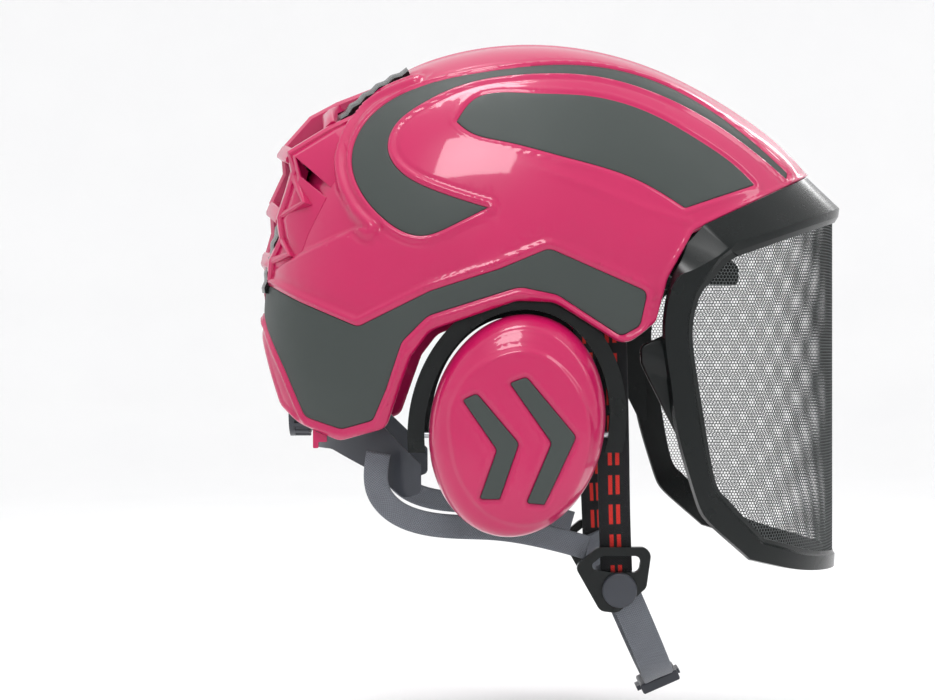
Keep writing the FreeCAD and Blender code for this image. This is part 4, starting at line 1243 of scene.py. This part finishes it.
def make_crown_strap(name, half_span, rise, fore_and_aft):
    """Webbing arch from clip to clip over the head."""
    low = math.asin(CROWN_BASE / rise)
    turn = np.linspace(low, math.pi - low, 150)
    reach = (half_span - CROWN_WALL / 2) * np.cos(turn)
    height = (rise - CROWN_WALL / 2) * np.sin(turn)
    path = np.stack([reach, 0 * turn, height] if fore_and_aft else [0 * turn, reach, height], 1)
    across = np.tile([0.0, 1.0, 0.0] if fore_and_aft else [1.0, 0.0, 0.0], (len(path), 1))
    return strap_mesh(name, path, across, CROWN_WIDTH, CROWN_WALL)


# ---------------------------------------------------------------- pads
def make_pad(name, halves, turns, heights, channels):
    """Crowned pad on the inside of an upright oval: sewn channels across it, a seam round its edge."""
    stations, around = 160, 44
    turn = np.radians(np.linspace(turns[0], turns[1], stations))
    place = np.stack([halves[0] * np.cos(turn), halves[1] * np.sin(turn)], 1)
    inward = -unit(np.stack([np.cos(turn) / halves[0], np.sin(turn) / halves[1]], 1))
    along = length_along(place)
    middle, half = sum(heights) / 2, (heights[1] - heights[0]) / 2
    sewn = [along[-1] * (k + 1) / (channels + 1) for k in range(channels)]
    verts = []
    for i in range(stations):
        end = min(along[i], along[-1] - along[i])
        corner = np.clip(1 - end / PAD_CORNER, 0, 1)
        reach = half - PAD_CORNER * (1 - math.sqrt(1 - corner ** 2))
        full = PAD_WALL * (0.2 + 0.8 * math.sqrt(1 - np.clip(1 - end / 3.5, 0, 1) ** 2))
        channel = 1 - 0.5 * sum(math.exp(-((along[i] - s) / 1.5) ** 2) for s in sewn)
        for b in (2 * math.pi * k / around for k in range(around)):
            c, s = math.cos(b), math.sin(b)
            height = reach * math.copysign(abs(c) ** 0.45, c)
            seam = 1 - 0.3 * math.exp(-((reach - abs(height) - 2.6) / 0.7) ** 2)
            crown = full * (max(s, 0) ** 0.5) * (0.82 + 0.18 * s) * channel * seam
            wrinkle = 0.22 * noise.noise(Vector((along[i] * 0.14, height * 0.2, halves[0]))) * max(s, 0)
            spot = place[i] + inward[i] * (crown + wrinkle - 0.15 * min(s, 0))
            verts.append((spot[0], spot[1], middle + height))
    return tidy_normals(mesh_object(name, verts, tube_faces(stations, around)))


def make_cup_foam():
    """Sound-absorbing foam disc with a moulded waffle face towards the ear."""
    rings, turns = 26, 150
    half = CUP_HALF - 22
    verts = [cup_world(np.zeros((1, 2)), np.array([-FOAM_LOW_Y - 0.4]))[0]]
    for layer in (0, 1):
        for r in range(1, rings + 1):
            share = r / rings
            for k in range(turns):
                a = 2 * math.pi * k / turns
                local = half * share * [math.cos(a), math.sin(a)]
                edge = 1.6 * (1 - math.sqrt(1 - max(0.0, (share - 0.9) / 0.1) ** 2))
                cosines = math.cos(local[0] * 0.9) * math.cos(local[1] * 0.9)
                waffle = 0.45 * (1 - cosines) * min(1, (1 - share) * 6)
                y = FOAM_LOW_Y + edge + waffle if layer == 0 else FOAM_HIGH_Y - edge
                verts.append(cup_world(local[None], np.array([-y]))[0])
    verts.append(cup_world(np.zeros((1, 2)), np.array([-FOAM_HIGH_Y]))[0])
    layer_size = rings * turns
    faces = disc_faces(0, 1, rings, turns) + disc_faces(len(verts) - 1, 1 + layer_size, rings, turns)
    outer = 1 + layer_size - turns
    for k in range(turns):
        m = (k + 1) % turns
        faces.append((outer + k, outer + m, outer + layer_size + m, outer + layer_size + k))
    return tidy_normals(mesh_object("cup_foam_skin_right", verts, faces))


# ---------------------------------------------------------------- rear vent structure
VENT_SPINE = [(-62, 101.5), (-84, 93), (-99, 85), (-115, 67), (-114, 53), (-121.5, 37), (-120.5, 20),
              (-125, 4), (-123, -8)]
VENT_RAIL = [(-62, -38, 87), (-86, -42, 75), (-108, -42, 61.5), (-105.5, -43, 51), (-109, -43, 39),
             (-113.5, -42, 26), (-112, -42, 15), (-118, -40, 3), (-119, -38, -7)]
VENT_RIBS = [((-84, 0, 91), (-86, -41, 76)), ((-114, 0, 65), (-107, -41, 60)),
             ((-121, 0, 35), (-113, -41, 27)), ((-124, 0, 3), (-117, -39, 3))]
VENT_WINGS = [((-106, -43, 50), (-113, -42, 27), (-98, -62, 33)),
              ((-118, -40, 3), (-112, -42, 15), (-106, -60, 6))]
VENT_CENTRE = np.array([DOME_X, 0, DOME_Z + 20])
VENT_OPENING = (2, 1)
VENT_REACH = 24.0
LOUVRE_PITCH = 3.2
SCREEN_WALL = 2.4


def bar(verts, faces, path, width, height, taper=0.6):
    """Facetted bar along a path: wide at its foot, narrower on top, closed at its ends."""
    p = np.asarray(path, float)
    run = unit(np.gradient(p, axis=0))
    out = p - VENT_CENTRE
    out = unit(out - run * (out * run).sum(1)[:, None])
    side = np.cross(run, out)
    half = [(0.5, -1.0), (0.5, -0.15), (0.5 * taper, 0.0)]
    section = [(-0.5, -1.0), *half, (-0.5 * taper, 0.0), (-0.5, -0.15)]
    faces += tube_faces(len(p), len(section), start=len(verts))
    for i in range(len(p)):
        for across, up in section:
            verts.append(p[i] + side[i] * across * width + out[i] * up * height)


def make_rear_vent():
    """Spine, two rails, ribs and wings over the vent opening."""
    verts, faces = [], []
    bar(verts, faces, [(x, 0, z) for x, z in VENT_SPINE], 17, 15.0)
    for sign in (1, -1):
        flip = np.array([1, sign, 1])
        bar(verts, faces, np.array(VENT_RAIL) * flip, 8.5, 8.5, 0.45)
        for a, b in VENT_RIBS:
            middle = (np.array(a) + b) / 2 + [-3.5, 0, 2.0]
            bar(verts, faces, np.array([a, middle, b]) * flip, 8.0, 5.0)
        for corners in VENT_WINGS:
            c = np.array(corners, float) * flip
            bar(verts, faces, np.array([c[0], c[2], c[1]]), 5.0, 6.0, 0.5)
    obj = tidy_normals(mesh_object("rear_vent_skin", verts, faces, smooth=False))
    soften(obj, 0.5, 25)
    return obj


def make_vent_walls():
    """Chamfer and side panels from the rails down to the shell, with an opening in each side."""
    verts, faces = [], []
    for sign in (1, -1):
        start = len(verts)
        for x, y, z in VENT_RAIL:
            inward = unit((VENT_CENTRE - [x, y, z]) * [1, 0, 1])
            angle = math.degrees(math.atan2(z - DOME_Z, x - DOME_X))
            angle += 360 if angle < 0 else 0
            across = math.degrees(math.asin(((abs(y) + VENT_REACH) / HALF_WIDTH) ** (SIDE_POWER / 2)))
            top = np.array([x, y + 3.5, z]) + inward * 0.8
            bend = np.array([x, y - 8.0, z]) + inward * 7.0
            foot = dome_point(np.array(angle), np.array(across), -REAR_RECESS - 0.4)
            for place in (top, bend, foot):
                verts.append(place * [1, sign, 1])
        for i in range(len(VENT_RAIL) - 1):
            for k in range(2):
                if (i, k) != VENT_OPENING:
                    a = start + 3 * i + k
                    faces.append((a, a + 3, a + 4, a + 1))
    obj = tidy_normals(mesh_object("rear_vent_walls", verts, faces, smooth=False))
    wall = obj.modifiers.new("wall", "SOLIDIFY")
    wall.thickness = 1.6 * MM
    wall.offset = 0.0
    soften(obj, 0.4, 15)
    return obj


def make_vent_shade_screen():
    """Louvred screen under the rails, black as painted shade for the dark vent openings."""
    angles, widths = np.arange(112, 168, 0.5), np.linspace(-1, 1, 25)
    verts, faces = [], []
    for drop in (0, SCREEN_WALL):
        for angle in angles:
            reach = 17 + 2 * math.sin(math.radians((angle - angles[0]) * LOUVRE_PITCH))
            ridge = 1.1 * abs(((angle / LOUVRE_PITCH) % 1.0) - 0.5) * 2
            for w in widths:
                q = dome_point(np.array(angle), np.array(abs(w) * reach), 1.2 + ridge - drop)
                verts.append(q * [1, -1 if w > 0 else 1, 1])
    rows, columns = len(angles), len(widths)
    total = rows * columns
    for i in range(rows - 1):
        for k in range(columns - 1):
            a = i * columns + k
            faces.append((a, a + columns, a + columns + 1, a + 1))
            faces.append((a + total, a + 1 + total, a + columns + 1 + total, a + columns + total))
    right = [i * columns + columns - 1 for i in range(1, rows)]
    back = [(rows - 1) * columns + k for k in range(columns - 2, -1, -1)]
    left = [i * columns for i in range(rows - 2, 0, -1)]
    ring = [*range(columns), *right, *back, *left]
    for a, b in zip(ring, ring[1:] + ring[:1]):
        faces.append((a, b, b + total, a + total))
    return tidy_normals(mesh_object("vent_shade_screen", verts, faces, smooth=False))


# ---------------------------------------------------------------- camera, light and floor
CAMERA_PLACE = (-0.011, -1.0, -0.045)
CAMERA_LENS = 68.75
FLOOR_Z = -0.262
# radius and height over the floor, in metres
STAGE_PROFILE = [
    (0.6, 0), (1.2, 0), (1.7, 0), (2.0, 0.03), (2.25, 0.13), (2.42, 0.3), (2.5, 0.55), (2.52, 1.6),
]
WORLD_STRENGTH = 0.92
# place and target in metres, size in metres, power in watts
SOFTBOXES = {
    "key_softbox": ((-0.25, -0.95, 1.15), (0.03, 0, 0), (0.5, 0.42), 7),
    "front_softbox": ((1.25, -0.35, 0.95), (0.05, 0, 0), (0.25, 1.1), 4),
    "top_softbox": ((-0.18, 0.065, 1.16), (0.11, -0.09, 0.01), (0.4, 0.4), 5),
    "rim_softbox": ((0.79, 0.99, 0.91), (0.17, -0.05, 0.04), (0.14, 0.7), 2.5),
}


def area_light(name, place, target, size, power):
    data = bpy.data.lights.new(name, "AREA")
    data.shape = "RECTANGLE"
    data.size, data.size_y = size
    data.energy = power
    light = bpy.data.objects.new(name, data)
    light.location = place
    bpy.context.scene.collection.objects.link(light)
    light.rotation_euler = (Vector(target) - light.location).to_track_quat("-Z", "Y").to_euler()


def make_camera():
    data = bpy.data.cameras.new("camera")
    data.lens = CAMERA_LENS
    data.sensor_width = 36.0
    camera = bpy.data.objects.new("camera", data)
    camera.location = CAMERA_PLACE
    camera.rotation_euler = (math.radians(90), 0, 0)
    bpy.context.scene.collection.objects.link(camera)
    bpy.context.scene.camera = camera


def make_stage():
    """Round pale floor whose edge sweeps up to a wall all the way round."""
    around = 96
    verts = [(0, 0, FLOOR_Z)]
    for radius, height in STAGE_PROFILE:
        for turn in (2 * math.pi * k / around for k in range(around)):
            verts.append((radius * math.cos(turn), radius * math.sin(turn), FLOOR_Z + height))
    faces = disc_faces(0, 1, len(STAGE_PROFILE), around)
    stage = mesh_object("studio_floor", np.array(verts) / MM, faces)
    s = Shader("studio_paper", Specular_IOR_Level=0.1)
    s.put("Base Color", s.mix(s.noise(6, 2), linear(250, 250, 250), linear(246, 246, 247)))
    s.put("Roughness", s.remap(s.noise(40, 2), 0.3, 0.7, 0.9, 1.0))
    stage.data.materials.append(s.material)


def make_light():
    world = bpy.data.worlds.new("studio")
    world.use_nodes = True
    background = world.node_tree.nodes["Background"].inputs
    background["Color"].default_value = (1, 1, 1, 1)
    background["Strength"].default_value = WORLD_STRENGTH
    bpy.context.scene.world = world
    for name, (place, target, size, power) in SOFTBOXES.items():
        area_light(name, place, target, size, power)
    bpy.context.scene.view_settings.view_transform = "Standard"


# ---------------------------------------------------------------- build
make_camera()
make_stage()
make_light()

add_piece(make_shell(), "helmet", "outer_shell")
for inlay in INLAYS:
    for piece, (side, _) in zip(make_inlay(inlay), SIDES):
        add_piece(piece, "helmet", inlay + "_" + side)
add_piece(make_visor_frame(), "visor", "visor_frame")
gusset = make_gusset()
for piece in (gusset, mirrored(gusset, "visor_gusset_left")):
    add_piece(piece, "visor", slot="black_plastic")
add_piece(make_rear_vent(), "helmet", "rear_vent_cover")
add_piece(make_vent_walls(), "helmet", slot="pink_shell")
# black screen: painted shade standing in for the dark vent openings
add_piece(make_vent_shade_screen(), "helmet", slot="black_plastic")
for piece in make_visor_mesh():
    add_piece(piece, "visor", "visor_mesh")
add_both(make_cup_cover(), "ear_cup_{}", "cup_cover")
add_both(make_chevrons(), "ear_cup_{}", "cup_chevrons")
add_both(make_cup_cushion(), "ear_cup_{}", "cup_cushion")
add_both(make_cup_foam(), "ear_cup_{}", "cup_foam")
for name, (body, halves, turns, heights, channels) in PADS.items():
    pad = make_pad(name + "_skin", halves, turns, heights, channels)
    add_piece(pad, body, name)
for name, half_span, rise, fore_and_aft in CROWN_STRAPS:
    add_piece(make_crown_strap(name + "_skin", half_span, rise, fore_and_aft), "helmet", name)
add_both(make_front_strap(), "helmet", "front_strap")
add_both(make_rear_strap(), "helmet", "rear_strap")
add_piece(make_chin_strap(), "helmet", "chin_strap")

for name, node in frame["nodes"].items():
    dress(node, "black_plastic" if name.startswith("strap_divider") else SLOTS[name])
    if not node.hide_render:
        soften(node, 0.35, 38)
